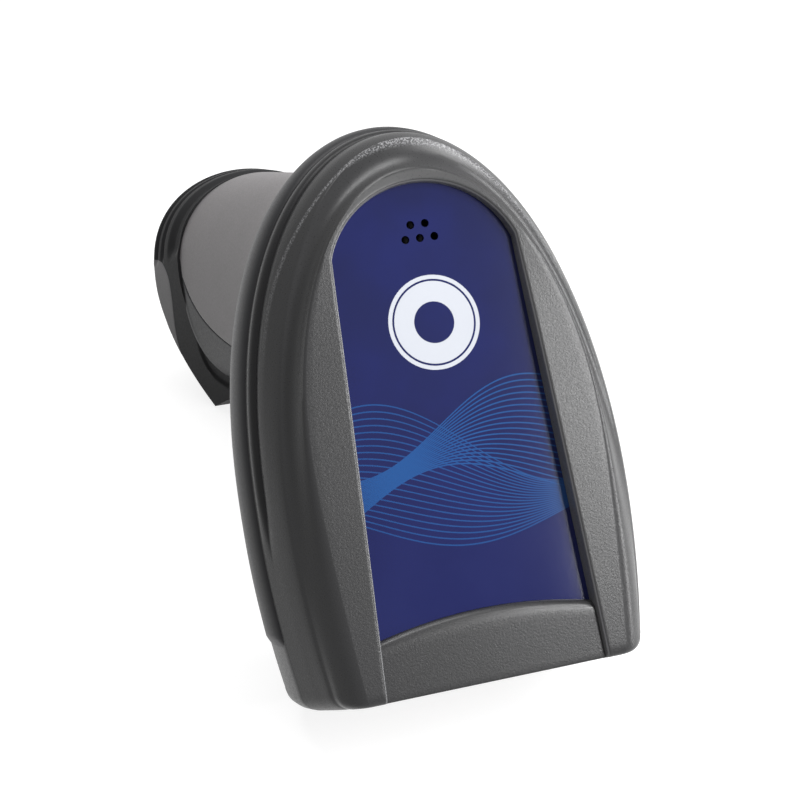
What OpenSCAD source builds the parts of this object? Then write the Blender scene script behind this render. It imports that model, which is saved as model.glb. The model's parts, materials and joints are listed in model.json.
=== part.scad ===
// Hand-held imaging scanner with an oval head, a trigger under it and a flared grip.
// Every piece is drawn in the head's own frame: X to the right, Y from the nose to the rear
// along the label, Z out of the label's face. at_rest() then lays the whole scanner on the
// floor, where it leans on its nose and on the front edge of its foot.

/* [Head] */
// Half width of the head at its widest, over the bumper
head_half_w = 34.4; // [33.4:0.2:36]
// Length of the head from the nose to the rear of the bumper
head_len = 97.6; // [94:0.2:102]
// Distance behind the nose at which the head is widest
widest_y = 30; // [26:1:34]
// Depth of the head from the label's face to its underside
head_depth = 36; // [35:0.5:38]
// How far the nose's lower lip reaches in front of its upper edge
nose_reach = 1.6; // [1:0.2:2.4]
// Depth at which the upper shell ends and the bumper begins
seam_depth = 12; // [11.5:0.5:12.5]
// Depth at which the bumper ends
bumper_end = 25; // [24.5:0.5:25.5]
// Distance behind the nose at which the bumper's two arms end
bumper_front = 10; // [9:0.5:11]
// Thickness of the bumper
bumper_thick = 3; // [2.6:0.2:3.2]
// Wall thickness of the moulded shells
wall = 2.2; // [2:0.1:2.4]
// Number of steps round the rear of an outline
rear_steps = 12; // [10:1:13]

/* [Label] */
// Half width of the label at its two rear corners
label_rear_half_w = 16.2; // [15:0.2:17]
// Half width of the label at its two front corners
label_front_half_w = 19.2; // [18:0.2:20]
// Distance from the label's rear corners to the rear of the head
label_rear_gap = 24.1; // [23.5:0.1:25.5]
// Height of the arc at the label's rear
label_rise = 11.7; // [10.5:0.1:12]
// Distance of the label's front corners behind the nose
label_front_y = 9.5; // [9:0.5:11]
// Height of the side rails over the label's face
rail_height = 3; // [2.4:0.1:3.4]
// Height of the chin in front of the label
chin_height = 1; // [0.6:0.1:1.4]
// Thickness of the label plate
label_thick = 0.8; // [0.6:0.1:1]
// Radius of a sound hole
sound_hole_r = 0.7; // [0.5:0.05:0.8]
// Distance between neighbouring sound holes
sound_hole_pitch = 2.6; // [2.4:0.1:3]

/* [Grip] */
// Depth of the foot's flat face below the label's face
foot_depth = 130; // [118:0.5:140]
// Distance of the foot's front edge behind the nose
foot_front_y = 55.8; // [54:0.2:58]
// Distance of the foot's rear behind the nose
foot_rear_y = 109.4; // [108:0.2:112]
// Half width of the foot at its widest
foot_half_w = 23.2; // [22.6:0.2:24.2]
// Half width of the foot's straight front edge
foot_edge_half_w = 14.4; // [13:0.2:16]
// Height of the rubber foot
foot_height = 17.6; // [17:0.2:18.4]
// Half width of the grip where it enters the foot
grip_half_w = 20.4; // [19.5:0.1:21]
// How much narrower the grip is on each side at its waist
grip_waist = 2.4; // [1.8:0.1:2.8]
// Depth of each groove round the heel
heel_groove = 0.7; // [0.4:0.1:0.9]

/* [Trigger] */
// Half width of the trigger
trigger_half_w = 8.5; // [7.5:0.5:9]
// Depth of the trigger's finger hollow
finger_hollow = 2.2; // [1.4:0.2:2.6]
// Radius of the trigger's pivot pin
pin_r = 1.25; // [1.1:0.05:1.4]
// Radial running clearance round the pivot pin
pin_clearance = 0.05; // [0.02:0.01:0.08]
// Gap between the trigger and the slot it moves in
trigger_gap = 0.5; // [0.4:0.1:0.7]

/* [Battery] */
// Radius of the battery cell
cell_r = 9; // [8:0.5:9.5]
// Length of the battery cell
cell_len = 62; // [55:1:65]

/* [Hidden] */
$fn = 48;

corner_steps = 4;
side_steps = 5;
rear_power = 0.85;
top_taper = 1.8;
low_taper = 2.9;
mid_share = 0.46;
fuse = 0.3;
reach = 300;

// How far the scanner leans when it stands on its nose and its foot's front edge.
lean = atan2(foot_depth - head_depth, foot_front_y + nose_reach);
rest_lift = head_depth * cos(lean) + nose_reach * sin(lean);
row_front = -rail_height * sin(lean);
row_rear = foot_rear_y * cos(lean) + foot_depth * sin(lean);
row_mid = (row_front + row_rear) / 2;

module at_rest() {
    translate([0, -row_mid, rest_lift]) rotate([lean, 0, 0]) children();
}

// The left half of a head outline, from the nose to the rear. The sides draw in by the taper.
function head_half(half_w, rear, corner, front = 0, taper = low_taper) = concat(
    [for (i = [0:corner_steps]) let (a = 90 * i / corner_steps)
        [-(half_w - taper - corner * (1 - sin(a))), front + corner * (1 - cos(a))]],
    [for (i = [1:side_steps])
        let (y = front + corner + (widest_y - front - corner) * i / side_steps)
        let (u = (widest_y - y) / (widest_y - front))
        [-(half_w - taper * u * u), y]],
    [for (i = [1:rear_steps]) let (a = 90 * i / rear_steps)
        [-half_w * cos(a), widest_y + (rear - widest_y) * pow(sin(a), rear_power)]]);

// The left half of a grip section, from its front to its rear.
function grip_half(half_w, front, rear) =
    let (mid = rear - mid_share * (rear - front))
    concat(
    [for (i = [0:rear_steps]) let (a = 90 * i / rear_steps)
        [-max(1, half_w * pow(sin(a), 0.8)), mid - (mid - front) * pow(cos(a), 0.75)]],
    [for (i = [1:rear_steps]) let (a = 90 * i / rear_steps)
        [-half_w * cos(a), mid + (rear - mid) * pow(sin(a), 0.92)]]);

// The left half of the foot's outline: straight front edge, sharp corner, then a round heel.
function foot_half(half_w, edge_half_w, front, rear) =
    let (mid = rear - mid_share * (rear - front))
    concat(
    [for (i = [1:rear_steps]) let (u = 1 - (i - 1) / (rear_steps - 1))
        [-(half_w - (half_w - edge_half_w) * pow(u, 1.75)), mid - (mid - front) * u]],
    [for (i = [1:rear_steps]) let (a = 90 * i / rear_steps)
        [-half_w * cos(a), mid + (rear - mid) * pow(sin(a), 0.92)]]);

// A whole outline from its left half, without doubling the point at the rear.
function whole(half) = concat(half,
    [for (i = [len(half) - 2:-1:0]) [-half[i][0], half[i][1]]]);

// An outline lifted to a height.
function at_height(outline, z) = [for (p = outline) [p[0], p[1], z]];

// A closed skin through rings that all have the same number of points.
module loft(rings) {
    count = len(rings[0]);
    last = len(rings) - 1;
    half = (count - 1) / 2;
    sides = [for (i = [0:last - 1], j = [0:count - 1])
        let (a = i * count + j, b = i * count + (j + 1) % count)
        each [[a, b, b + count], [a, b + count, a + count]]];
    function strip(k) = [k, k + 1, count - 2 - k, count - 1 - k];
    function tip(k) = [k, k + 1, k + 2];
    cap = concat([for (k = [0:half - 2]) strip(k)], [tip(half - 1)]);
    top = [for (f = cap) [for (v = f) v + last * count]];
    bottom = [for (f = cap) [for (i = [len(f) - 1:-1:0]) f[i]]];
    polyhedron(points = [for (r = rings) each r], faces = concat(sides, top, bottom), convexity = 6);
}

// Everything between two depths, and everything in front of a distance, for cuts.
module slab(low, high) {
    translate([-reach / 2, -reach / 2, low]) cube([reach, reach, high - low]);
}

module ahead_of(y) {
    translate([-reach / 2, y - reach, -reach / 2]) cube([reach, reach, reach]);
}

// How much lower the rails lie towards the rear, where they run out into the rim.
rear_drop = 2.4;
function rail_drop(y) =
    y < widest_y ? 0 : rear_drop * pow((y - widest_y) / (head_len - widest_y), 2);

// Where the nose stands at a height: it leans forward down to the middle of the head.
function nose_y(z) = -nose_reach * min(1, max(0, 1 - z) / (head_depth / 2));

// How much the sides draw in towards the nose at a height.
function side_taper(z) = top_taper + (low_taper - top_taper) * min(1, max(0, -z / seam_depth));

// One ring of the upper shell: how far it lies inside the widest line, its height and its drop.
function shell_ring(inset, rear_inset, corner, z, drop) = [for (p =
    whole(head_half(head_half_w - inset, head_len - rear_inset, corner, nose_y(z), side_taper(z))))
    [p[0], p[1], z - drop * rail_drop(p[1])]];

shell_rings = [
    shell_ring(1.2, 1.9, 3.4, -seam_depth, 0),
    shell_ring(1.6, 2.4, 3.4, -0.77 * seam_depth, 0),
    shell_ring(2.1, 2.9, 3.4, -0.73 * seam_depth, 0),
    shell_ring(2.8, 3.6, 3.4, -0.42 * seam_depth, 0.1),
    shell_ring(4.3, 4.5, 3.4, -0.5 * rail_height, 0.35),
    shell_ring(5.2, 5.5, 3.4, 0.17 * rail_height, 0.6),
    shell_ring(7.0, 7.2, 3.6, 0.73 * rail_height, 0.85),
    shell_ring(9.6, 9.6, 4.2, rail_height, 1)];

// One ring of the head's hollow, a wall inside the outline.
function hollow_ring(inset, z) = at_height(whole(head_half(
    head_half_w - inset - wall, head_len - inset - wall, 4, wall - nose_reach)), z);

hollow_floor_inset = 10;
hollow_floor_rise = 6;
hollow_side_inset = 3.2;
hollow_top_inset = 4.8;
hollow_top_start = -8;

// The hollow inside both shells of the head.
module head_hollow(top, bottom) {
    loft([
        hollow_ring(hollow_floor_inset, bottom),
        hollow_ring(hollow_side_inset, bottom + hollow_floor_rise),
        hollow_ring(hollow_side_inset, hollow_top_start),
        hollow_ring(hollow_top_inset, top)]);
}

label_corner_y = head_len - label_rear_gap;
label_slope = (label_front_half_w - label_rear_half_w) / (label_corner_y - label_front_y);
label_sag = 2.3;
label_gap = 0.1;
label_arc_steps = 10;
border_rise = 1.6;
border_height = 1.4;
field_top = 10;

// Half width of the sunk field between the rails at any distance behind the nose.
function field_half_w(y) = label_front_half_w + (label_front_y - y) * label_slope + label_gap;

// Radius of an arc that spans the label's rear corners and rises to a height over them.
function rear_arc_r(rise) = (pow(label_rear_half_w, 2) + pow(rise, 2)) / (2 * rise);

// The label's outline, grown by a margin, with an arc at the rear and a shallow arc in front.
function label_outline(margin, rise = label_rise) =
    let (base_r = rear_arc_r(rise), arc_a = asin(label_rear_half_w / base_r), arc_r = base_r + margin)
    let (arc_y = label_corner_y + rise - base_r)
    concat(
    [for (i = [0:label_arc_steps]) let (u = 1 - 2 * i / label_arc_steps)
        [-(label_front_half_w + margin) * u, label_front_y - margin + label_sag * (1 - u * u)]],
    [for (i = [0:label_arc_steps]) let (a = arc_a * (1 - 2 * i / label_arc_steps))
        [arc_r * sin(a), arc_y + arc_r * cos(a)]]);

buzzer_y = label_corner_y + 3;
sound_row_y = 1.2;
sound_holes = [for (i = [-1:1]) [i * sound_hole_pitch, buzzer_y - sound_row_y],
               for (i = [-0.5:1:0.5]) [i * sound_hole_pitch, buzzer_y + sound_row_y]];

// The sunk field between the rails: label seat, sloped border and chin.
module label_field() {
    chin_front = -nose_reach - 1;
    chin_back = label_front_y + 2 * label_sag + nose_reach;
    translate([0, 0, -label_thick]) linear_extrude(field_top) polygon(label_outline(label_gap));
    translate([0, 0, chin_height]) linear_extrude(field_top)
        polygon([[-field_half_w(chin_front), chin_front], [field_half_w(chin_front), chin_front],
                 [field_half_w(chin_back), chin_back], [-field_half_w(chin_back), chin_back]]);
    difference() {
        hull() {
            linear_extrude(fuse) polygon(label_outline(label_gap));
            translate([0, 0, border_height]) linear_extrude(field_top)
                polygon(label_outline(label_gap, label_rise + border_rise));
        }
        ahead_of(label_corner_y);
    }
}

board_z = -6.4;
board_thick = 1.2;
board_half_w = 20;
board_rear_half_w = 14;
board_front_y = 16;
board_rear_y = head_len - 15.6;
board_draw_len = 22;
board_post_r = 2;
board_posts = [for (x = [-1, 1]) each
    [[x * (board_half_w - 3), board_front_y + 6], [x * (board_rear_half_w - 1), board_rear_y - 12]]];
ceiling_z = -3;
sound_well_r = 4.2;

module upper_shell() {
    color("#4a4a4c") at_rest() {
        difference() {
            loft(shell_rings);
            head_hollow(ceiling_z, -head_depth);
            label_field();
            nose_opening();
            translate([0, buzzer_y, ceiling_z - 1]) cylinder(r = sound_well_r, h = field_top);
        }
        for (p = board_posts) translate([p[0], p[1], board_z])
            cylinder(r = board_post_r, h = ceiling_z - board_z + fuse);
        difference() {
            for (x = [-1, 1]) translate([x * screw_x, screw_y, post_meet_z])
                cylinder(r = screw_post_r, h = ceiling_z - post_meet_z + fuse);
            case_screw_holes();
        }
    }
}

module label_panel() {
    color("#1d2352") at_rest() difference() {
        translate([0, 0, -label_thick]) linear_extrude(label_thick) polygon(label_outline(0));
        for (h = sound_holes) translate([h[0], h[1], -2 * label_thick])
            cylinder(r = sound_hole_r, h = 3 * label_thick, $fn = 16);
    }
}

seam_gap = 0.1;

// A ring of the bumper and of the lower shell at a depth.
function low_ring(inset, rear_inset, corner, z) =
    at_height(whole(head_half(head_half_w - inset, head_len - rear_inset, corner, nose_y(z))), z);

bumper_mid = -(seam_depth + bumper_end) / 2;
bumper_gap = 0.8;

// What lies inside the bumper, where the lower shell passes behind it.
module bumper_core() {
    outline = whole(head_half(head_half_w - bumper_thick, head_len - bumper_thick, 4));
    loft([at_height(outline, -head_depth - 1), at_height(outline, 0)]);
}

module bumper() {
    color("#2e2e30") at_rest() difference() {
        loft([low_ring(1.4, 1.4, 4, -bumper_end), low_ring(0.5, 0.5, 4, -bumper_end + 2.5),
              low_ring(0, 0, 4, bumper_mid), low_ring(0.3, 0.4, 4, bumper_mid + 3.3),
              low_ring(1, 1.2, 4, -seam_depth - 1.4), low_ring(2, 2.2, 4, -seam_depth - bumper_gap)]);
        bumper_core();
        ahead_of(bumper_front);
    }
}

nose_half_w = 26;
nose_top = -6;
nose_bottom = -31;
nose_corner_r = 6;
frame_front = -0.8;
frame_depth = 5.8;
lip_depth = 0.8;
lip_w = 1.6;
window_half_w = 20;
window_low = -28;
window_high = -9;
window_corner_r = 4;
window_thick = 1.2;
gasket_w = 1.5;
gasket_thick = 1;

// A rectangle with round corners in the nose's plane, from its lowest to its highest depth.
module nose_plate(half_w, low, high, corner_r, front, thick) {
    translate([0, front + thick, 0]) rotate([90, 0, 0]) linear_extrude(thick) hull()
        for (x = [-1, 1], z = [low + corner_r, high - corner_r])
            translate([x * (half_w - corner_r), z]) circle(r = corner_r, $fn = 32);
}

// The window's outline drawn in or out by a margin.
module window_plate(margin, front, thick) {
    nose_plate(window_half_w + margin, window_low - margin, window_high + margin,
        window_corner_r + margin / 2, front, thick);
}

module nose_opening() {
    nose_plate(nose_half_w, nose_bottom, nose_top, nose_corner_r, -head_depth,
        head_depth + frame_front + frame_depth);
}

module lower_shell() {
    color("#38383a") at_rest() {
        difference() {
            loft([low_ring(10, 5.4, 6, -head_depth), low_ring(6.2, 3.6, 6, -head_depth + 1.4),
                  low_ring(3.2, 2.4, 5, -head_depth + 5), low_ring(1.9, 1.8, 4, -head_depth + 9),
                  low_ring(1.5, 1.5, 3.4, -bumper_end), low_ring(1.2, 1.4, 3.4, bumper_mid),
                  low_ring(1.2, 1.9, 3.4, -seam_depth - seam_gap)]);
            head_hollow(0, -head_depth + wall);
            nose_opening();
            difference() {
                slab(-bumper_end, 0);
                ahead_of(bumper_front);
                bumper_core();
            }
            loft([for (z = neck_levels) grip_ring(z, 0)]);
            case_screw_holes();
        }
        difference() {
            for (x = [-1, 1]) translate([x * screw_x, screw_y, -head_depth + wall - fuse])
                cylinder(r = screw_post_r, h = post_meet_z + head_depth - wall + fuse);
            case_screw_holes();
        }
    }
}

module case_screw_holes() {
    for (x = [-1, 1]) translate([x * screw_x, screw_y, -head_depth - 1]) {
        cylinder(r = screw_r, h = 1 + screw_sink + case_screw_len);
        cylinder(r = screw_head_r + screw_gap, h = 1 + screw_sink + screw_head_h);
    }
}

module nose_frame() {
    color("#232325") at_rest() difference() {
        nose_plate(nose_half_w, nose_bottom, nose_top, nose_corner_r, frame_front, frame_depth);
        window_plate(-lip_w, frame_front - 1, frame_depth + 2);
        window_plate(0, lip_depth, frame_depth);
    }
}

module scan_window() {
    color("#3a1418", 0.8) at_rest() window_plate(0, lip_depth, window_thick);
}

module window_gasket() {
    color("#151515") at_rest() difference() {
        window_plate(0, lip_depth + window_thick, gasket_thick);
        window_plate(-gasket_w, lip_depth, frame_depth);
    }
}

engine_w = 26;
engine_h = 15;
engine_y = 12;
engine_len = 14;
engine_z = -18.5;
lens_x = 3;
lens_r = 4;
lens_bore = 7;
aim_x = -5;
aim_r = 1.8;
aim_bore = 5;
lens_gap = 0.1;
led_x = 9.8;
led_w = 4.4;
led_h = 6;
led_deep = 3;

// A round bore or barrel along the scan direction, at a place across the engine.
module along_scan(x, r, front, length) {
    translate([x, front + length, engine_z]) rotate([90, 0, 0]) cylinder(r = r, h = length);
}

// A window for a lamp, or with a gap the lamp itself.
module led_block(x, gap) {
    translate([x - led_w / 2 + gap, engine_y + 4 * gap, engine_z - led_h / 2 + gap])
        cube([led_w - 2 * gap, led_deep - 4 * gap, led_h - 2 * gap]);
}

module engine_housing() {
    color("#1b1b1d") at_rest() difference() {
        translate([-engine_w / 2, engine_y, engine_z - engine_h / 2])
            cube([engine_w, engine_len, engine_h]);
        along_scan(lens_x, lens_r, engine_y - 1, lens_bore + 1);
        along_scan(aim_x, aim_r, engine_y - 1, aim_bore + 1);
        for (x = [-1, 1]) led_block(x * led_x, 0);
        for (x = [-1, 1]) translate([x * led_x - led_w / 2, engine_y - 1, engine_z - led_h / 2])
            cube([led_w, 2, led_h]);
    }
}

module engine_lens() {
    rim = lens_r - lens_gap;
    color("#30344a") at_rest() translate([lens_x, engine_y + lens_bore, engine_z]) rotate([90, 0, 0])
        rotate_extrude() polygon([[0, 0], [rim, 0], [rim, 0.8 * lens_bore], [0.8 * rim, 0.8 * lens_bore],
            [0.7 * rim, 0.6 * lens_bore], [0.4 * rim, 0.69 * lens_bore], [0, 0.71 * lens_bore]]);
}

module aimer_lens() {
    rim = aim_r - lens_gap;
    color("#7a1f22") at_rest() translate([aim_x, engine_y + aim_bore, engine_z]) rotate([90, 0, 0])
        rotate_extrude() polygon([[0, 0], [rim, 0], [rim, 0.68 * aim_bore],
            [0.5 * rim, 0.82 * aim_bore], [0, 0.86 * aim_bore]]);
}

module illumination_leds() {
    color("#e8e6d8") at_rest() for (x = [-1, 1]) led_block(x * led_x, lens_gap);
}

bracket_thick = 1.2;
bracket_tab_w = 4;
bracket_tab_len = 8;
bracket_back_h = 10.5;

// A folded plate that carries the engine from the head's floor.
module engine_bracket() {
    floor_z = -head_depth + wall;
    tray_z = engine_z - engine_h / 2 - bracket_thick;
    color("#a8abb0") at_rest() {
        translate([-engine_w / 2, engine_y, tray_z])
            cube([engine_w, engine_len + bracket_thick, bracket_thick]);
        translate([-engine_w / 2, engine_y + engine_len, tray_z])
            cube([engine_w, bracket_thick, bracket_back_h + bracket_thick]);
        for (x = [-engine_w / 2, engine_w / 2 - bracket_tab_w])
            translate([x, engine_y + (engine_len - bracket_tab_len) / 2, floor_z])
                cube([bracket_tab_w, bracket_tab_len, tray_z - floor_z]);
    }
}

module main_board() {
    draw_y = board_rear_y - board_draw_len;
    color("#1f5b36") at_rest() translate([0, 0, board_z - board_thick]) linear_extrude(board_thick)
        polygon([[-board_half_w, board_front_y], [board_half_w, board_front_y], [board_half_w, draw_y],
                 [board_rear_half_w, board_rear_y], [-board_rear_half_w, board_rear_y],
                 [-board_half_w, draw_y]]);
}

// A chip under the main board: its corner's place behind the board's front, and its size.
module chip(x, y, w, l, h) {
    translate([x, board_front_y + y, board_z - board_thick - h]) cube([w, l, h]);
}

module board_chips() {
    color("#141414") at_rest() {
        chip(-4, 18, 12, 12, 1.4);
        chip(9, 24, 6, 8, 1.1);
        chip(-12, 34, 7, 5, 1);
        chip(3, 38, 10, 4, 2.4);
        chip(-14, 8, 5, 5, 1);
    }
}

buzzer_r = 5.6;
buzzer_mouth_r = 1;
buzzer_chamber_z = 1.6;

module buzzer() {
    color("#121212") at_rest() translate([0, buzzer_y, board_z]) difference() {
        cylinder(r = buzzer_r, h = ceiling_z - board_z);
        translate([0, 0, buzzer_chamber_z]) cylinder(r = buzzer_mouth_r, h = ceiling_z - board_z);
    }
}

grip_top = -head_depth + 8;
grip_end = -foot_depth + foot_height;
grip_len = -head_depth - grip_end;
grip_steps = 7;
foot_step = 0.4;
foot_front_draw = 1.5;
foot_rear_draw = 3.4;
foot_edge_draw = 3;
grip_front_end = foot_front_y + foot_front_draw + foot_step;
grip_rear_end = foot_rear_y - foot_rear_draw - foot_step;
grip_front_draw = 10.6;
grip_rear_draw = 13;
waist_at = 0.35;
neck_flare = 1;
neck_front_flare = 3.4;

// How the grip's width and front change from the head, at 0, to the foot, at 1.
function grip_narrowing(u) =
    grip_waist * (1 - pow((u - waist_at) / (u < waist_at ? waist_at : 1 - waist_at), 2))
    - neck_flare * max(0, 1 - 20 * u);
function grip_front_back(u) = grip_front_draw * (1 - u) + neck_front_flare * exp(-8 * u);

// One ring of the grip at a height, drawn in by an inset.
function grip_ring(z, inset) =
    let (u = min(1, max(0, (-head_depth - z) / grip_len)))
    at_height(whole(grip_half(grip_half_w - grip_narrowing(u) - inset,
        grip_front_end - grip_front_back(u) + inset,
        grip_rear_end - grip_rear_draw * (1 - u) - inset)), z);

grip_levels = concat(
    [for (i = [0:grip_steps]) -head_depth - grip_len * pow(1 - i / grip_steps, 1.4)], [grip_top]);
neck_levels = [for (i = [grip_steps - 2:grip_steps + 1]) grip_levels[i]];

// The grip as one hollow skin, before it is parted into its two halves.
module grip_skin() {
    difference() {
        loft([for (z = grip_levels) grip_ring(z, 0)]);
        loft([for (z = concat([grip_end - 1], grip_levels, [grip_top + 1])) grip_ring(z, wall)]);
    }
}

// Ribs inside the front half that carry the trigger's frame by its cheeks.
module frame_ribs() {
    intersection() {
        loft([for (z = grip_levels) grip_ring(z, wall - fuse)]);
        for (x = [-cheek_x - frame_plate - foot_half_w, cheek_x + frame_plate])
            translate([x, pivot_y - frame_plate / 2, pivot_z - cheek_below])
                cube([foot_half_w, frame_plate, cheek_below + cheek_above]);
    }
}

seam_top_y = 61;
seam_foot_y = 88.5;
seam_reach = 62.6;
seam_steps = 8;

// Where the two halves of the grip part, seen from the side: a sweep that opens at the foot.
function seam_point(u) =
    [seam_top_y + (seam_foot_y - seam_top_y) * pow(1 - pow(u, 0.6), 1.6), grip_end + seam_reach * u];

module rear_side() {
    rotate([90, 0, 90]) translate([0, 0, -reach / 2]) linear_extrude(reach)
        polygon(concat([for (i = [0:seam_steps]) seam_point(pow(i / seam_steps, 1.6))],
            [[seam_top_y, grip_top + 1], [reach, grip_top + 1], [reach, grip_end - 1],
             [seam_foot_y, grip_end - 1]]));
}

module trigger_slot() {
    half = trigger_half_w + trigger_gap;
    translate([-half, 0, trigger_low - 2 * trigger_gap])
        cube([2 * half, pivot_y, trigger_top - trigger_low + 4 * trigger_gap]);
}

module grip_front() {
    color("#343436") at_rest() {
        difference() {
            grip_skin();
            rear_side();
            trigger_slot();
        }
        frame_ribs();
    }
}

module grip_rear() {
    color("#77757a") at_rest() intersection() {
        grip_skin();
        rear_side();
    }
}

trim_front_y = 67;
trim_rear_y = 91;
trim_low = 0.8;
trim_high = 8.6;
trim_depth = 1.2;
trim_steps = 6;
foot_wall = 3;
foot_mid_y = foot_rear_y - mid_share * (foot_rear_y - foot_front_y);

// One plain ring of the foot at a height, drawn in by an inset. It narrows upwards to the grip.
function foot_core_ring(z, inset) =
    let (u = (z + foot_depth) / foot_height)
    at_height(whole(foot_half(foot_half_w - (foot_half_w - grip_half_w - foot_step) * u - inset,
        foot_edge_half_w - foot_edge_draw * u - inset, foot_front_y + foot_front_draw * u + inset,
        foot_rear_y - foot_rear_draw * u - inset)), z);

// Share of the heel's grooves at a point: full round the rear, none in front of the trims.
function heel_share(y) = min(1, max(0, (y - trim_rear_y) / 2));

// A ring of the foot with a groove of a depth pressed into its heel.
function foot_ring(z, groove) = [for (p = foot_core_ring(z, 0))
    let (s = 1 - groove * heel_share(p[1]) / foot_half_w)
    [p[0] * s, foot_mid_y + (p[1] - foot_mid_y) * s, z]];

// The heel from the floor up, as shares of its height: two narrow grooves and a wide valley.
groove_at = [0.14, 0.37];
groove_half = 0.03;
groove_shoulder = 0.07;
groove_levels = concat([[0, 0]],
    [for (g = groove_at) each [[g - groove_shoulder, 0], [g - groove_half, 1],
        [g + groove_half, 1], [g + groove_shoulder, 0]]],
    [[0.6, 0], [0.68, 1.2], [0.9, 1.2], [1, 0.4]]);
foot_rings = [for (g = groove_levels) foot_ring(-foot_depth + g[0] * foot_height, g[1] * heel_groove)];

// The side view of the light strips: a sliver that rises towards the heel.
module foot_trim_zone() {
    rotate([90, 0, 90]) translate([0, 0, -reach / 2]) linear_extrude(reach) polygon(concat(
        [for (i = [0:trim_steps]) let (u = i / trim_steps)
            [trim_front_y + (trim_rear_y - trim_front_y) * u,
             -foot_depth + trim_low + (trim_high - trim_low) * sin(90 * u)]],
        [[trim_rear_y, -foot_depth + trim_low]]));
}

// The foot's body without its grooves, between its floor and the grip.
module foot_body(inset, overlap) {
    loft([foot_core_ring(-foot_depth - overlap, inset), foot_core_ring(grip_end + overlap, inset)]);
}

module foot() {
    color("#2b2b2d") at_rest() {
        difference() {
            loft(foot_rings);
            foot_body(foot_wall, 1);
            difference() {
                foot_trim_zone();
                foot_body(trim_depth, 2);
            }
        }
        difference() {
            intersection() {
                foot_body(foot_wall - fuse, 0);
                for (x = [-1, 1]) translate([x * plate_screw_x, plate_screw_y, -foot_depth + plate_thick])
                    cylinder(r = plate_post_r, h = plate_post_h);
            }
            plate_screw_holes();
        }
    }
}

// The light strip let into one side of the foot.
module foot_trim(side) {
    color("#7c7a7e") at_rest() difference() {
        intersection() {
            foot_body(0, 0);
            foot_trim_zone();
            translate([side < 0 ? -reach : 0, 0, -reach]) cube([reach, reach, reach]);
        }
        foot_body(trim_depth, 1);
    }
}

module foot_trim_left() {
    foot_trim(-1);
}

module foot_trim_right() {
    foot_trim(1);
}

plate_thick = 2;
plate_gap = 0.05;
port_w = 9.2;
port_h = 3.4;
port_wall = 0.5;
port_gap = 0.1;
port_y = foot_front_y + 16.2;
contact_y = foot_rear_y - 13.4;
contact_x = 6;
contact_r = 2;
contact_gap = 0.05;
contact_sink = 0.3;
contact_pin_r = 1;
charge_board_z = -foot_depth + 5;
charge_board_half_w = 12;
charge_board_margin = 4;
charge_post_x = 10;

module foot_plate() {
    inset = foot_wall + plate_gap;
    post_y = (port_y + contact_y) / 2;
    color("#303033") at_rest() {
        difference() {
            loft([foot_core_ring(-foot_depth, inset), foot_core_ring(-foot_depth + plate_thick, inset)]);
            translate([-port_w / 2, port_y - port_h / 2, -foot_depth - 1])
                cube([port_w, port_h, plate_thick + 2]);
            for (x = [-1, 1]) translate([x * contact_x, contact_y, -foot_depth - 1])
                cylinder(r = contact_r, h = plate_thick + 2);
            plate_screw_holes();
        }
        for (x = [-1, 1]) translate([x * charge_post_x, post_y, -foot_depth + plate_thick])
            cylinder(r = contact_r, h = charge_board_z + foot_depth - plate_thick);
    }
}

module plate_screw_holes() {
    for (x = [-1, 1]) translate([x * plate_screw_x, plate_screw_y, -foot_depth - 1]) {
        cylinder(r = screw_r, h = 1 + plate_screw_len);
        cylinder(r = screw_head_r + screw_gap, h = 1 + screw_head_h);
    }
}

module charge_contacts() {
    color("#c8a24a") at_rest() for (x = [-1, 1])
        translate([x * contact_x, contact_y, -foot_depth + contact_sink]) {
            cylinder(r = contact_r - contact_gap, h = plate_thick - contact_sink);
            cylinder(r = contact_pin_r, h = charge_board_z + foot_depth - contact_sink);
        }
}

module charge_port() {
    inset = port_gap + port_wall;
    color("#b9bcc0") at_rest() difference() {
        translate([-port_w / 2 + port_gap, port_y - port_h / 2 + port_gap, -foot_depth + 2 * port_gap])
            cube([port_w - 2 * port_gap, port_h - 2 * port_gap, charge_board_z + foot_depth - 2 * port_gap]);
        translate([-port_w / 2 + inset, port_y - port_h / 2 + inset, -foot_depth])
            cube([port_w - 2 * inset, port_h - 2 * inset, charge_board_z + foot_depth - 2 * port_wall]);
    }
}

module charge_board() {
    front = port_y - charge_board_margin;
    color("#1f5b36") at_rest() translate([-charge_board_half_w, front, charge_board_z])
        cube([2 * charge_board_half_w, contact_y + charge_board_margin - front, board_thick]);
}

cell_y = foot_rear_y - 22.4;
cell_low = -foot_depth + 11;
cell_rake = atan(grip_rear_draw / grip_len);
cell_cap_r = 2.6;
cell_cap_h = 1.4;
cradle_wall = 1.6;
cradle_leg_half_w = 7;
cradle_leg_deep = 6;

// The cell stands in its cradle, in line with the grip's own rake.
module in_cell_line() {
    translate([0, cell_y, cell_low]) rotate([cell_rake, 0, 0]) children();
}

module battery_cell() {
    color("#2c5fa8") at_rest() in_cell_line() {
        cylinder(r = cell_r, h = cell_len);
        translate([0, 0, cell_len]) cylinder(r = cell_cap_r, h = cell_cap_h);
    }
}

module battery_cradle() {
    side = cell_r + cradle_wall;
    leg_z = charge_board_z + board_thick;
    color("#26262a") at_rest() {
        in_cell_line() difference() {
            translate([-side, 0, -cradle_wall])
                cube([2 * side, side, cell_len + cell_cap_h + 2 * cradle_wall]);
            cylinder(r = cell_r, h = cell_len);
            translate([0, 0, cell_len - fuse]) cylinder(r = cell_cap_r, h = cell_cap_h + fuse);
        }
        translate([-cradle_leg_half_w, cell_y + 1, leg_z])
            cube([2 * cradle_leg_half_w, cradle_leg_deep, cell_low - leg_z - fuse]);
    }
}

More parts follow.
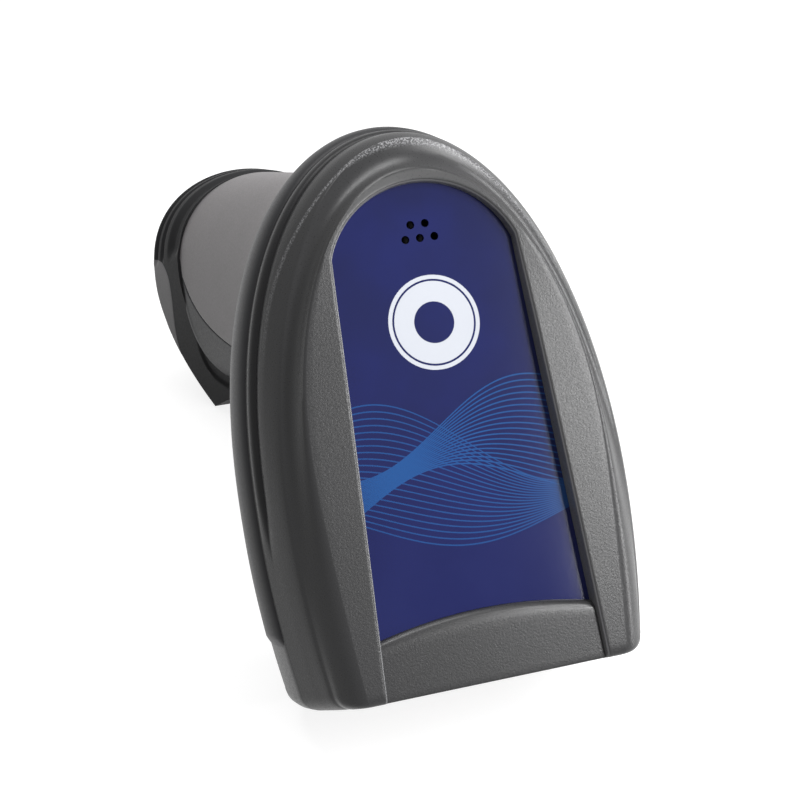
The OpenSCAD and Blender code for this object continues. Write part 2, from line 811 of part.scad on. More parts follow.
pivot_y = 56.5;
pivot_z = -head_depth - 7;
pivot_lobe = 3;
trigger_top = -head_depth - 2.5;
trigger_low = -head_depth - 35;
trigger_front_top = 41;
trigger_front_low = 46.5;
trigger_back = 57;
trigger_corner_r = 5;
hollow_steps = 10;

// The trigger seen from the side: a finger hollow in front, a flat back inside the grip.
function trigger_profile() = concat(
    [for (i = [0:hollow_steps]) let (u = i / hollow_steps)
        [trigger_front_top + (trigger_front_low - trigger_front_top) * u + finger_hollow * sin(180 * u),
         trigger_top + (trigger_low - trigger_top) * u]],
    [[trigger_back - pivot_lobe, trigger_low], [trigger_back, trigger_low + pivot_lobe],
     [trigger_back, pivot_z - 2 * pivot_lobe], [pivot_y + pivot_lobe, pivot_z - pivot_lobe],
     [pivot_y + pivot_lobe, trigger_top]]);

module trigger() {
    color("#2a2a2c") at_rest() difference() {
        intersection() {
            rotate([90, 0, 90]) translate([0, 0, -trigger_half_w]) linear_extrude(2 * trigger_half_w)
                polygon(trigger_profile());
            nose_plate(trigger_half_w, trigger_low, trigger_top + trigger_corner_r, trigger_corner_r,
                0, foot_rear_y);
        }
        across_pivot(pin_r + pin_clearance, trigger_half_w + 1);
        translate([0, spring_front, spring_z]) rotate([-90, 0, 0])
            cylinder(r = spring_pocket_r, h = trigger_back - spring_front + 1);
    }
}

// A round bar or bore along the trigger's pivot.
module across_pivot(r, half_len) {
    translate([-half_len, pivot_y, pivot_z]) rotate([0, 90, 0]) cylinder(r = r, h = 2 * half_len);
}

module trigger_pin() {
    color("#9a9ca0") at_rest() across_pivot(pin_r, cheek_x + frame_plate - 0.1);
}

frame_back = 61;
frame_plate = 2;
frame_foot = 5;
cheek_x = trigger_half_w + 0.6;
cheek_y = pivot_y - 3.2;
cheek_below = 4;
cheek_above = 3;
spring_z = trigger_low + 6;
spring_pocket_r = 3;
spring_r = 2.1;
spring_wire = 0.35;
spring_turns = 5;
spring_front = trigger_back - 6.5;
spring_sides = 6;
spring_steps = 60;

// The inner frame that holds the pin, the spring and the switch.
module trigger_frame() {
    side = cheek_x + frame_plate;
    color("#2d2d30") at_rest() difference() {
        union() {
            for (x = [-side, cheek_x]) translate([x, cheek_y, pivot_z - cheek_below])
                cube([frame_plate, frame_back + frame_plate - cheek_y, cheek_below + cheek_above]);
            translate([-side, frame_back, spring_z - frame_foot])
                cube([2 * side, frame_plate, pivot_z + cheek_above - spring_z + frame_foot]);
        }
        across_pivot(pin_r, side + 1);
    }
}

// A helix swept along its axis, from the trigger's pocket to the frame.
module trigger_spring() {
    length = frame_back - spring_front - 2 * spring_wire;
    points = [for (i = [0:spring_steps]) let (a = 360 * spring_turns * i / spring_steps)
        each [for (j = [0:spring_sides - 1]) let (b = 360 * j / spring_sides)
            [(spring_r + spring_wire * cos(b)) * cos(a),
             spring_front + spring_wire + length * i / spring_steps + spring_wire * sin(b),
             spring_z + (spring_r + spring_wire * cos(b)) * sin(a)]]];
    skin = [for (i = [0:spring_steps - 1], j = [0:spring_sides - 1])
        let (a = i * spring_sides + j, b = i * spring_sides + (j + 1) % spring_sides)
        each [[a, a + spring_sides, b + spring_sides], [a, b + spring_sides, b]]];
    start = [[for (j = [0:spring_sides - 1]) j]];
    finish = [[for (j = [spring_sides - 1:-1:0]) spring_steps * spring_sides + j]];
    color("#c9ccd0") at_rest()
        polyhedron(points = points, faces = concat(skin, start, finish), convexity = 10);
}

switch_z = pivot_z - 11;
switch_half_w = 3;
switch_deep = 2.2;
button_r = 1.5;
button_h = 1;

module trigger_switch() {
    front = frame_back - switch_deep;
    color("#1a1a1a") at_rest() {
        translate([-switch_half_w, front, switch_z - switch_half_w])
            cube([2 * switch_half_w, switch_deep, 2 * switch_half_w]);
        translate([0, front, switch_z]) rotate([90, 0, 0]) cylinder(r = button_r, h = button_h);
    }
}

screw_r = 1.2;
screw_head_r = 2.3;
screw_head_h = 1.2;
screw_gap = 0.1;
screw_sink = 0.3;
screw_x = 23.5;
screw_y = 26;
screw_post_r = 3;
post_meet_z = -head_depth + 9;
case_screw_len = 13;
plate_screw_x = 16.6;
plate_screw_y = (port_y + contact_y) / 2 - 2;
plate_screw_len = 7;
plate_post_r = 2.8;
plate_post_h = 9;

// A screw that points up into the scanner, from a place on its underside.
module screw(x, y, z, length) {
    translate([x, y, z]) {
        cylinder(r = screw_head_r, h = screw_head_h);
        cylinder(r = screw_r, h = length);
    }
}

module case_screws() {
    color("#8e9094") at_rest() for (x = [-1, 1]) {
        screw(x * screw_x, screw_y, -head_depth + screw_sink, case_screw_len);
        screw(x * plate_screw_x, plate_screw_y, -foot_depth, plate_screw_len);
    }
}

upper_shell();
label_panel();
bumper();
lower_shell();
nose_frame();
window_gasket();
scan_window();
engine_housing();
engine_lens();
aimer_lens();
illumination_leds();
engine_bracket();
main_board();
board_chips();
buzzer();
grip_front();
grip_rear();
foot();
foot_trim_left();
foot_trim_right();
foot_plate();
charge_contacts();
charge_port();
charge_board();
battery_cell();
battery_cradle();
trigger();
trigger_pin();
trigger_frame();
trigger_spring();
trigger_switch();
case_screws();
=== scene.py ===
"""The looks of a hand-held imaging scanner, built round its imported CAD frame.

Every piece is shaped in the head's own frame, in millimetres: X to the right, Y from the nose
to the rear along the label, Z out of the label's face. lay_down() then puts it into the frame.
"""
import json
from math import acos, asin, atan2, cos, exp, hypot, pi, radians, sin, sqrt

import bmesh
import bpy
from mathutils import Matrix, Vector


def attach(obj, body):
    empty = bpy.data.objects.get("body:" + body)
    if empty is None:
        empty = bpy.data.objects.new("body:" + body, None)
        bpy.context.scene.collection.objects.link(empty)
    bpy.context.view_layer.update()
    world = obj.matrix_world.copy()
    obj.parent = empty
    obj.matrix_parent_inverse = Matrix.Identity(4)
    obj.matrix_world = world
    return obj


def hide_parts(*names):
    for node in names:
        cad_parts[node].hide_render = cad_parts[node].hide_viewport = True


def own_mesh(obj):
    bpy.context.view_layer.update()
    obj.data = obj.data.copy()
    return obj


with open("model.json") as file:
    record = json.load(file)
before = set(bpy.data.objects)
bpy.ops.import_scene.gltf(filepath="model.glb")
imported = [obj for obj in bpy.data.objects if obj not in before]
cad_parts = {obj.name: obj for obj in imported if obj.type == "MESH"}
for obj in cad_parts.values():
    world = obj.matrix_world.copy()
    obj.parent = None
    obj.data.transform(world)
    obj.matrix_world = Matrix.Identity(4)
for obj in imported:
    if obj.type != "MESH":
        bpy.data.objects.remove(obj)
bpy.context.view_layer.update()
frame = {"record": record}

# The head's frame, set by the foot's face, which the record gives as a mount.
FOOT_FACE_Y = 88.0
FOOT_DEPTH = 130.0
MM = 0.001
foot_face = frame["record"]["mounts"][0]
LEAN = atan2(foot_face["axis"][1], -foot_face["axis"][2])


def head_to_row():
    """The matrix from the head's frame, in millimetres, to the row frame, in metres."""
    turn = Matrix.Rotation(LEAN, 4, "X")
    here = turn @ Vector((0, FOOT_FACE_Y, -FOOT_DEPTH)) * MM
    return Matrix.Translation(Vector(foot_face["pos_m"]) - here) @ turn @ Matrix.Scale(MM, 4)


HEAD_TO_ROW = head_to_row()

# The head's main sizes.
HEAD_HALF_W = 34.4
HEAD_LEN = 97.6
WIDEST_Y = 30.0
NOSE_REACH = 1.6
HEAD_BOW = 0.85
RAIL_DROP = 2.4
LABEL_FRONT = (19.2, 9.5)
LABEL_REAR = (16.2, 73.5)
LABEL_RISE = 11.15
CHIN_BULGE = 2.3
CHIN_HEIGHT = 1.75
CHIN_SLOPE = 1.9
NOSE_TOP = 0.6
NOSE_LEAN_TOP = 1.0
NOSE_LEAN_DEPTH = 18.0
NOSE_ROUND = 0.35
RAIL_NOSE_ROUND = 1.15
RAIL_HEIGHT = 3.0
FAN_Y = 60.0


def smooth_step(value, low, high):
    """0 below low, 1 above high, and an even blend between them."""
    share = min(1.0, max(0.0, (value - low) / (high - low)))
    return share * share * (3 - 2 * share)


def mix(a, b, share):
    return a + (b - a) * share


def both_sides(half):
    """A half ring's places on the left, -1, and then back on the right, 1, the last only once."""
    return [(-1, place) for place in half] + [(1, place) for place in reversed(half[:-1])]


# Making a piece: a new ring's radius before its points are placed, how close points merge, and
# up to which angle faces are shaded smooth.
START_RADIUS = 20
MERGE_GAP = 0.002
SMOOTH_ANGLE = radians(32)


def choose(piece):
    """Leave only this piece selected and active."""
    bpy.ops.object.select_all(action="DESELECT")
    piece.select_set(True)
    bpy.context.view_layer.objects.active = piece


def edit_on(piece):
    choose(piece)
    bpy.ops.object.mode_set(mode="EDIT")


def edit_off():
    bpy.ops.object.mode_set(mode="OBJECT")


def place_ring(piece, first, ring):
    """Put the points of one ring of edges where the ring says, counting from the first."""
    shape = bmesh.from_edit_mesh(piece.data)
    shape.verts.ensure_lookup_table()
    for number, point in enumerate(ring):
        shape.verts[first + number].co = point
    bmesh.update_edit_mesh(piece.data)


def new_ring(name, count, fill="NOTHING"):
    """A new piece, open for editing, whose ring of points has yet to be placed."""
    bpy.ops.object.select_all(action="DESELECT")
    bpy.ops.mesh.primitive_circle_add(vertices=count, radius=START_RADIUS, fill_type=fill)
    piece = bpy.context.object
    piece.name = piece.data.name = name
    edit_on(piece)
    return piece


def merge_points(distance):
    """Merge the points that lie close in the piece being edited, and turn its faces outwards."""
    bpy.ops.mesh.select_all(action="SELECT")
    bpy.ops.mesh.remove_doubles(threshold=distance)
    bpy.ops.mesh.normals_make_consistent(inside=False)


def loft(name, rings, closed=True, cap=False):
    """Draw a ring of edges and extrude it from place to place, capping both ends if asked."""
    count = len(rings[0])
    piece = new_ring(name, count)
    if not closed:
        shape = bmesh.from_edit_mesh(piece.data)
        shape.verts.ensure_lookup_table()
        ends = {shape.verts[0], shape.verts[count - 1]}
        for edge in shape.edges:
            if set(edge.verts) == ends:
                shape.edges.remove(edge)
                break
        bmesh.update_edit_mesh(piece.data)
    bpy.ops.mesh.select_all(action="SELECT")
    for step, ring in enumerate(rings):
        if step:
            bpy.ops.mesh.extrude_edges_move()
        place_ring(piece, step * count, ring)
    if cap:
        for first in (0, (len(rings) - 1) * count):
            fill_ring(piece, range(first, first + count))
    merge_points(MERGE_GAP)
    edit_off()
    return piece


def fill_ring(piece, numbers):
    """Fill one ring of vertices with a face."""
    bpy.ops.mesh.select_all(action="DESELECT")
    shape = bmesh.from_edit_mesh(piece.data)
    shape.verts.ensure_lookup_table()
    for number in numbers:
        shape.verts[number].select = True
    shape.select_flush(True)
    bmesh.update_edit_mesh(piece.data)
    bpy.ops.mesh.edge_face_add()


def wall(skin, thickness, outward):
    """Turn a skin's faces outwards, on the whole towards the way given, and give it a wall."""
    way = Vector((0, 0, 0))
    for face in skin.data.polygons:
        way += face.normal * face.area
    if way.dot(Vector(outward)) < 0:
        edit_on(skin)
        bpy.ops.mesh.select_all(action="SELECT")
        bpy.ops.mesh.flip_normals()
        edit_off()
    apply_modifier(skin, "SOLIDIFY", thickness=thickness, offset=-1)
    return skin


def plate(name, outline):
    """A flat face with the given outline."""
    piece = new_ring(name, len(outline), "NGON")
    place_ring(piece, 0, outline)
    edit_off()
    return piece


def join(name, pieces, merge=0.004):
    """Join pieces into one and, where a distance is given, merge the points that they share."""
    choose(pieces[0])
    for piece in pieces[1:]:
        piece.select_set(True)
    bpy.ops.object.join()
    piece = bpy.context.object
    piece.name = piece.data.name = name
    if merge:
        edit_on(piece)
        merge_points(merge)
        edit_off()
    return piece


def apply_modifier(piece, kind, **settings):
    choose(piece)
    modifier = piece.modifiers.new(kind.title(), kind)
    for key, value in settings.items():
        setattr(modifier, key, value)
    bpy.ops.object.modifier_apply(modifier=modifier.name)


def lay_down(piece, body="scanner"):
    """Put a finished piece into the row frame, shade it and let it ride on its body."""
    piece.data.transform(HEAD_TO_ROW)
    piece.matrix_world = Matrix.Identity(4)
    choose(piece)
    bpy.ops.object.shade_smooth_by_angle(angle=SMOOTH_ANGLE)
    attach(piece, body)


# The head's outline. The taper at the nose is given at the label's level, and then by how much
# it grows below, from which depth and over which depth.
NOSE_TAPER = 1.8
TAPER_GROWTH = ((0.8, 0.0, 1.5), (0.3, 1.5, 2.5))


def nose_y(z):
    """The nose's face leans forward as it goes down, over the upper half of the head."""
    share = min(1.0, max(0.0, NOSE_LEAN_TOP - z) / NOSE_LEAN_DEPTH)
    return -NOSE_TOP - (NOSE_REACH - NOSE_TOP) * share


def side_taper(z):
    """How much narrower the head is at the nose than at its widest."""
    taper = NOSE_TAPER
    for growth, start, depth in TAPER_GROWTH:
        taper += growth * min(1.0, max(0.0, (-z - start) / depth))
    return taper


def rail_drop(y):
    return 0.0 if y < WIDEST_Y else RAIL_DROP * ((y - WIDEST_Y) / (HEAD_LEN - WIDEST_Y)) ** 2


# The columns of points from the nose's corner, along the side and round to the rear's middle.
# Up to the share NEAR_NOSE of the side they lie closer.
NEAR_NOSE = 0.2626
COLUMNS = both_sides([("nose", radians(10 * k)) for k in range(9)]
                     + [("side", NEAR_NOSE * k / 7) for k in range(8)]
                     + [("side", NEAR_NOSE + (1 - NEAR_NOSE) * k / 14) for k in range(1, 14)]
                     + [("rear", radians(90 * k / 54)) for k in range(55)])


def side_x(half_w, y, z):
    """The head's half width ahead of its widest place, where it is the one given."""
    return half_w - side_taper(z) * ((WIDEST_Y - y) / (WIDEST_Y - nose_y(z))) ** 2


def outline_point(column, half_w, rear, corner, z, bow=HEAD_BOW):
    """A point of the head's half outline, from the nose's corner back to the rear."""
    kind, along = column
    front = nose_y(z)
    if kind == "nose":
        x = side_x(half_w, front + corner, z) - corner * (1 - sin(along))
        return x, front + corner * (1 - cos(along))
    if kind == "side":
        y = mix(front + corner, WIDEST_Y, along)
        return side_x(half_w, y, z), y
    return half_w * cos(along), WIDEST_Y + (rear - WIDEST_Y) * sin(along) ** bow


def lip_point(x, y):
    """The point of the label's outline that lies inwards of (x, y), on the right half."""
    slope = (LABEL_FRONT[0] - LABEL_REAR[0]) / (LABEL_REAR[1] - LABEL_FRONT[1])
    if y <= FAN_Y:
        return LABEL_FRONT[0] - slope * (y - LABEL_FRONT[1]), y
    up = y - FAN_Y
    reach = (LABEL_FRONT[0] - slope * (FAN_Y - LABEL_FRONT[1])) / (x + slope * up)
    if FAN_Y + reach * up <= LABEL_REAR[1]:
        return reach * x, FAN_Y + reach * up
    radius = (LABEL_REAR[0] ** 2 + LABEL_RISE ** 2) / (2 * LABEL_RISE)
    centre = LABEL_REAR[1] + LABEL_RISE - radius - FAN_Y
    size = x * x + up * up
    half = up * centre
    reach = (half + sqrt(half * half - size * (centre * centre - radius * radius))) / size
    return reach * x, FAN_Y + reach * up


def nose_round(distance, radius=NOSE_ROUND):
    """How far a rounded edge has fallen at a distance from the nose's face."""
    if distance >= radius:
        return 0.0
    return radius - sqrt(radius * radius - (radius - distance) ** 2)


# The nose opening: half width, floor, top and corner radius. Up to OPENING_BACK the shells'
# rolled edges keep clear of it.
OPENING_HALF_W, OPENING_LOW, OPENING_TOP, OPENING_R = 26.0, -31.0, -6.0, 6.0
OPENING_BACK, OPENING_CLEAR = 8.0, 0.12


def clear_of_opening(x, y, z):
    """Keep the shells' rolled edges out of the nose opening."""
    if y > OPENING_BACK or not OPENING_LOW < z < OPENING_TOP:
        return x
    down = max(0.0, OPENING_LOW + OPENING_R - z)
    edge = OPENING_HALF_W - OPENING_R + sqrt(OPENING_R ** 2 - down * down)
    return max(x, edge + OPENING_CLEAR)


# The upper shell's rows: side inset, rear inset, height, share of the rail's drop, nose corner,
# share of the nose's rounding, and how full the rear is (a lower bow is fuller).
FLANK = ((3.4, 3.6, -12.7, 0.0, 3.4, 0.0, 0.85), (2.3, 2.6, -12.45, 0.0, 3.4, 0.0, 0.85),
         (1.6, 2.0, -12.2, 0.0, 3.4, 0.0, 0.85), (1.25, 1.7, -11.8, 0.0, 3.4, 0.0, 0.85),
         (1.15, 1.65, -11.2, 0.0, 3.4, 0.0, 0.852), (1.25, 1.8, -10.3, 0.0, 3.4, 0.0, 0.856),
         (1.55, 2.1, -9.6, 0.0, 3.4, 0.0, 0.86), (1.95, 2.45, -9.25, 0.0, 3.4, 0.0, 0.862),
         (2.25, 2.75, -9.1, 0.0, 3.4, 0.0, 0.865), (2.3, 2.85, -8.8, 0.0, 3.4, 0.0, 0.87),
         (2.15, 2.75, -8.3, 0.0, 3.4, 0.0, 0.88), (2.25, 2.8, -7.2, 0.02, 3.4, 0.0, 0.905),
         (2.6, 3.05, -5.6, 0.05, 3.4, 0.0, 0.93), (2.95, 3.35, -4.3, 0.08, 3.4, 0.1, 0.955),
         (3.4, 3.9, -3.1, 0.12, 3.4, 0.3, 0.975), (3.85, 4.35, -2.2, 0.16, 3.4, 0.5, 0.99),
         (4.15, 4.62, -1.75, 0.18, 3.4, 0.6, 0.997), (4.4, 4.75, -1.55, 0.2, 3.3, 0.7, 1.0),
         (4.7, 5.05, -1.48, 0.2, 3.2, 0.8, 1.0), (5.15, 5.7, -1.3, 0.22, 3.0, 0.9, 0.998),
         (5.6, 6.6, -1.0, 0.27, 2.7, 1.0, 0.99), (6.05, 7.55, -0.5, 0.36, 2.3, 1.0, 0.98),
         (6.5, 8.5, 0.3, 0.5, 1.9, 1.0, 0.96), (6.9, 9.3, 1.25, 0.7, 1.5, 1.0, 0.93),
         (7.3, 9.95, 2.2, 0.88, 1.2, 1.0, 0.89), (7.6, 10.3, 2.75, 0.97, 1.0, 1.0, 0.865),
         (7.95, 10.6, 2.97, 1.0, 0.9, 1.0, 0.85))
# The rows of the step low on the flank, and between which places it fades in.
STEP_ROWS = range(3, 12)
STEP_FADE = (24.0, 38.0)
CREST_ROW = 17
# Towards the nose the crest and the cove above it fade into one soft shoulder: inset and height.
SHOULDER = ((4.4, -1.55), (4.7, -1.12), (5.1, -0.57), (5.5, -0.03), (5.9, 0.5), (6.4, 1.1),
            (7.0, 1.72), (7.7, 2.3), (8.5, 2.75), (9.5, 3.0))
SHOULDER_END, SHOULDER_START = 10.0, 56.0

# The rail's rows: shares of its flat top, insets and falls over its edge, and shares of its wall.
FLAT_STEPS = (0.04, 0.25, 0.5, 0.75, 0.92)
EDGE_STEPS = ((0.8, 0.0), (0.55, 0.0), (0.36, 0.04), (0.18, 0.14), (0.05, 0.3), (0.0, 0.52))
WALL_STEPS = (0.3, 0.65, 1.0)
WALL_FOOT = -0.5
WALL_LEAN = 0.15
# The least flat top beside the panel, and up to where a row leans with the nose's face.
LEAST_TOP = 0.12
NOSE_END_Y = 6.0


def flank_row(number):
    """One lengthwise row of the upper shell's outside."""
    inset, rear_inset, z_base, drop, corner, lift, bow = FLANK[number]
    first, last = FLANK[STEP_ROWS[0]], FLANK[STEP_ROWS[-1]]
    rear = HEAD_LEN - rear_inset
    row = []
    for side, column in COLUMNS:
        x, y = outline_point(column, HEAD_HALF_W - inset, rear, corner, z_base, bow)
        height = z_base
        if number in STEP_ROWS:
            share = (z_base - first[2]) / (last[2] - first[2])
            plain = HEAD_HALF_W - mix(first[0], last[0], share)
            x = mix(outline_point(column, plain, rear, corner, z_base, bow)[0], x,
                    smooth_step(y, *STEP_FADE))
        if number >= CREST_ROW and y < SHOULDER_START:
            soft_inset, soft_z = SHOULDER[number - CREST_ROW]
            fade = smooth_step(y, SHOULDER_END, SHOULDER_START)
            height = mix(soft_z, z_base, fade)
            x, y = outline_point(column, HEAD_HALF_W - mix(soft_inset, inset, fade), rear, corner,
                                 height, bow)
        z = height - drop * rail_drop(y)
        z -= lift * nose_round(y - nose_y(height), RAIL_NOSE_ROUND)
        row.append((side * clear_of_opening(x, y, z), y - nose_y(height) + nose_y(z), z))
    return row


def inner_rows():
    """The rows across the rail's flat top, over its edge and down its wall to the label."""
    crease = flank_row(len(FLANK) - 1)
    rows = [[] for _ in range(len(FLAT_STEPS) + len(EDGE_STEPS) + len(WALL_STEPS))]
    for x, y, z in crease:
        side = -1 if x < 0 else 1
        top = RAIL_HEIGHT - rail_drop(y)
        fall = nose_round(y - nose_y(z), RAIL_NOSE_ROUND)
        squeeze = (top - fall - WALL_FOOT) / (top - WALL_FOOT)
        lip_x, lip_y = lip_point(abs(x), y)
        gap = hypot(abs(x) - lip_x, y - lip_y)
        out = ((abs(x) - lip_x) / gap, (y - lip_y) / gap)
        tight = min(1.0, (gap - LEAST_TOP) / (WALL_LEAN + EDGE_STEPS[0][0]))
        lean = WALL_LEAN * tight
        points = [(mix(gap, lean + EDGE_STEPS[0][0] * tight, t), top) for t in FLAT_STEPS]
        points += [(lean + back * tight, top - fall_back) for back, fall_back in EDGE_STEPS]
        wall_top = top - EDGE_STEPS[-1][1]
        points += [(lean * (1 - t), mix(wall_top, WALL_FOOT, t)) for t in WALL_STEPS]
        for number, (reach, height) in enumerate(points):
            here = WALL_FOOT + (height - WALL_FOOT) * squeeze
            forward = nose_y(here) - nose_y(z) if lip_y < NOSE_END_Y else 0.0
            rows[number].append((side * (lip_x + out[0] * reach), lip_y + out[1] * reach + forward,
                                 here))
    return rows


# The chin: its points across, how far it runs under the rails, how far its end is sunk, and how
# its bulge grows.
CHIN_ACROSS = 48
CHIN_OVERLAP, CHIN_SINK, CHIN_GROWTH = 0.45, 0.05, 1.5
# The nose's face takes the rows' ends as its edge, the low ones only outside RAIL_INNER_X.
RAIL_INNER_X, FACE_GAP = 21.2, 0.05
SHELL_WALL, CHIN_WALL = 1.5, 1.2
# How far from the panel's edge its surround reaches, and how far its tone is blended to a paler
# grey: painted light, standing in for the light on the panel's wall and rounded edge.
PAINTED_LIGHT_GAP, PAINTED_LIGHT_SHARE = 0.4, 0.5


def chin_rows():
    """The chin between the rails, from the nose's edge down its slope to the label's arc."""
    length = LABEL_FRONT[1] + NOSE_TOP
    flat_end = length - CHIN_SLOPE
    depths = [NOSE_ROUND * (1 - cos(radians(15 * k))) for k in range(7)]
    depths += [mix(NOSE_ROUND, flat_end, k / 9) for k in range(1, 10)]
    depths += [flat_end + CHIN_SLOPE * sin(radians(9 * k)) for k in range(1, 11)]
    rows = []
    for depth in depths + [length]:
        row = []
        down = max(0.0, (depth - flat_end) / CHIN_SLOPE)
        z = CHIN_HEIGHT * sqrt(max(0.0, 1 - down * down)) - nose_round(depth) - CHIN_SINK * down
        for step in range(CHIN_ACROSS + 1):
            share = 2 * step / CHIN_ACROSS - 1
            bulge = CHIN_BULGE * (1 - share * share) * (depth / length) ** CHIN_GROWTH
            half_w = lip_point(HEAD_HALF_W, depth - NOSE_TOP)[0] + CHIN_OVERLAP
            row.append([share * half_w, nose_y(z) + depth + bulge, z])
        rows.append(row)
    for point in rows[-1]:
        point[2] = WALL_FOOT
    return rows


def opening_path():
    """The nose opening's outline, as (x, z), from its lower right round to its lower left."""
    path = []
    side, low, top = OPENING_HALF_W - OPENING_R, OPENING_LOW + OPENING_R, OPENING_TOP - OPENING_R
    for x, z, start in ((side, low, 270), (side, top, 0), (-side, top, 90), (-side, low, 180)):
        for k in range(9):
            turn = radians(start + 90 * k / 8)
            path.append((x + OPENING_R * cos(turn), z + OPENING_R * sin(turn)))
    return path


OPENING = opening_path()


def nose_face(left_edge, right_edge, far_edge, seam_z, upper):
    """The nose's flat face round its half of the opening."""
    if upper:
        notch = [p for p in OPENING if p[1] > seam_z]
    else:
        low = [p for p in reversed(OPENING) if p[1] < seam_z]
        notch = [p for p in low if p[0] > 0] + [p for p in low if p[0] < 0]
    notch = [(OPENING_HALF_W, seam_z)] + notch + [(-OPENING_HALF_W, seam_z)]
    return left_edge + far_edge + right_edge + [(x, nose_y(z), z) for x, z in notch]


def mark_painted_surround_light(skin):
    """Mark the points of the panel's surround, its wall and rounded edge, which get painted light:
    a paler tone standing in for the light that falls there.
    """
    painted_surround_light = skin.data.attributes.new("painted_surround_light", "FLOAT", "POINT")
    for number, vertex in enumerate(skin.data.vertices):
        x, y, _ = vertex.co
        lip_x, lip_y = lip_point(abs(x), y)
        near = hypot(abs(x) - lip_x, y - lip_y) < PAINTED_LIGHT_GAP
        painted_surround_light.data[number].value = PAINTED_LIGHT_SHARE if near else 0.0


def make_upper_housing():
    rows = [flank_row(k) for k in range(len(FLANK))] + inner_rows()
    chin = chin_rows()
    chin_z = chin[0][0][2]
    left = [row[0] for row in rows if row[0][2] > chin_z or row[0][0] < -RAIL_INNER_X]
    right = [(-x, y, z) for x, y, z in reversed(left)]
    front = [tuple(p) for p in chin[0] if abs(p[0]) < -left[-1][0] - FACE_GAP]
    outline = nose_face(left, right, front, rows[0][0][2], True)
    skin = loft("shell_skin", rows, closed=False)
    mark_painted_surround_light(skin)
    shell = wall(skin, SHELL_WALL, (0, 0, 1))
    chin_skin = wall(loft("chin_skin", chin, closed=False), CHIN_WALL, (0, 0, 1))
    face = wall(plate("nose_skin", outline), SHELL_WALL, (0, -1, 0))
    piece = join("upper_housing", [shell, chin_skin, face], merge=0)
    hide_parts("upper_shell")
    lay_down(piece)


# The lower housing: side inset, rear inset, height, corner, from the seam down to the underside.
HULL = ((3.2, 3.4, -12.35, 3.4), (2.0, 2.2, -12.35, 3.4), (1.5, 1.8, -12.6, 3.4),
        (1.3, 1.7, -13.2, 3.4), (1.25, 1.6, -15.0, 3.4), (1.2, 1.45, -18.5, 3.4),
        (1.35, 1.45, -22.0, 3.4), (1.5, 1.5, -25.0, 3.6), (1.75, 1.7, -26.6, 3.9),
        (2.1, 1.95, -28.2, 4.3), (2.7, 2.25, -29.8, 4.8), (3.4, 2.65, -31.4, 5.2),
        (4.3, 3.0, -32.8, 5.6), (5.3, 3.4, -33.9, 5.9), (6.5, 3.9, -34.9, 6.0),
        (7.8, 4.5, -35.5, 6.0), (9.0, 5.0, -35.85, 6.0), (10.2, 5.5, -36.0, 6.0))


def make_lower_housing():
    rows = []
    for inset, rear_inset, z, corner in HULL:
        row = []
        for side, column in COLUMNS:
            x, y = outline_point(column, HEAD_HALF_W - inset, HEAD_LEN - rear_inset, corner, z)
            row.append((side * clear_of_opening(x, y, z), y, z))
        rows.append(row)
    left = [row[0] for row in rows]
    right = [(-x, y, z) for x, y, z in reversed(left)]
    face = plate("nose_skin", nose_face(left, right, [], rows[0][0][2], False))
    underside = plate("underside_skin", rows[-1])
    skin = loft("hull_skin", rows, closed=False)
    piece = join("lower_housing", [skin, face, underside])
    apply_modifier(piece, "SOLIDIFY", thickness=SHELL_WALL, offset=-1)
    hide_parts("lower_shell")
    lay_down(piece)


# The bumper's section, from inside over the outer face and back: inset and height.
BAND = ((3.2, -24.9), (2.0, -25.0), (1.35, -24.9), (0.95, -24.4), (0.65, -23.5), (0.35, -21.8),
        (0.12, -20.2), (0.0, -18.6), (0.03, -17.2), (0.2, -15.8), (0.45, -14.7), (0.8, -13.8),
        (1.2, -13.25), (1.7, -12.92), (2.3, -12.85), (3.2, -12.9))
BAND_FRONT = 10.0
BAND_MIDDLE = -18.8
# At its front the band is drawn in over a chamfer, and its edge is rounded.
BAND_CHAMFER = 2.6
BAND_DRAWN, BAND_INSIDE = 1.1, 3.2


def make_bumper():
    ys = [0.0, 0.12, 0.35, 0.8, 1.4, 2.0, BAND_CHAMFER] + [4.0 + 1.6 * k for k in range(10)]
    half = [("at", BAND_FRONT + y) for y in ys]
    half += [("rear", radians(90 * k / 60)) for k in range(61)]
    rings = []
    for side, column in both_sides(half):
        ring = []
        for inset, z in BAND:
            if column[0] == "at":
                y = column[1]
                edge = nose_round(y - BAND_FRONT)
                drawn = BAND_DRAWN * (1 - min(1, (y - BAND_FRONT) / BAND_CHAMFER)) + edge
                inset = max(inset, min(BAND_INSIDE, drawn + 0.5 * inset))
                z = BAND_MIDDLE + (z - BAND_MIDDLE) * (1 - 0.04 * edge)
                x = side_x(HEAD_HALF_W - inset, y, z)
            else:
                x, y = outline_point(column, HEAD_HALF_W - inset, HEAD_LEN - inset, 4.0, z)
            ring.append((side * x, y, z))
        rings.append(ring)
    piece = loft("bumper_band", rings, cap=True)
    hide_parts("bumper")
    lay_down(piece)


# The grip: its top and end, and at its end its half width, front and rear.
GRIP_TOP = -28.0
GRIP_END = -112.4
GRIP_HALF_W, GRIP_FRONT, GRIP_REAR = 20.4, 57.7, 105.6
# How much narrower its waist is, and at which share of its length down from the head.
WAIST, WAIST_AT = 2.4, 0.35
# How far its front and rear lie further forward at the head, and how much they curve.
FRONT_LEAN, FRONT_CURVE = 10.6, 3.4
REAR_LEAN, REAR_CURVE = 13.0, 0.5
# The head's depth over the grip, and the grip's wall and rows.
HEAD_DEPTH = 36.0
GRIP_WALL = 1.8
GRIP_STEPS = 44
GRIP_IN_FOOT = 1.2
# Where a ring is widest, and how full it is beside its front, at its front and at its rear.
MIDDLE_SHARE = 0.46
SIDE_FULL, FRONT_FULL, REAR_FULL = 0.8, 0.75, 0.92
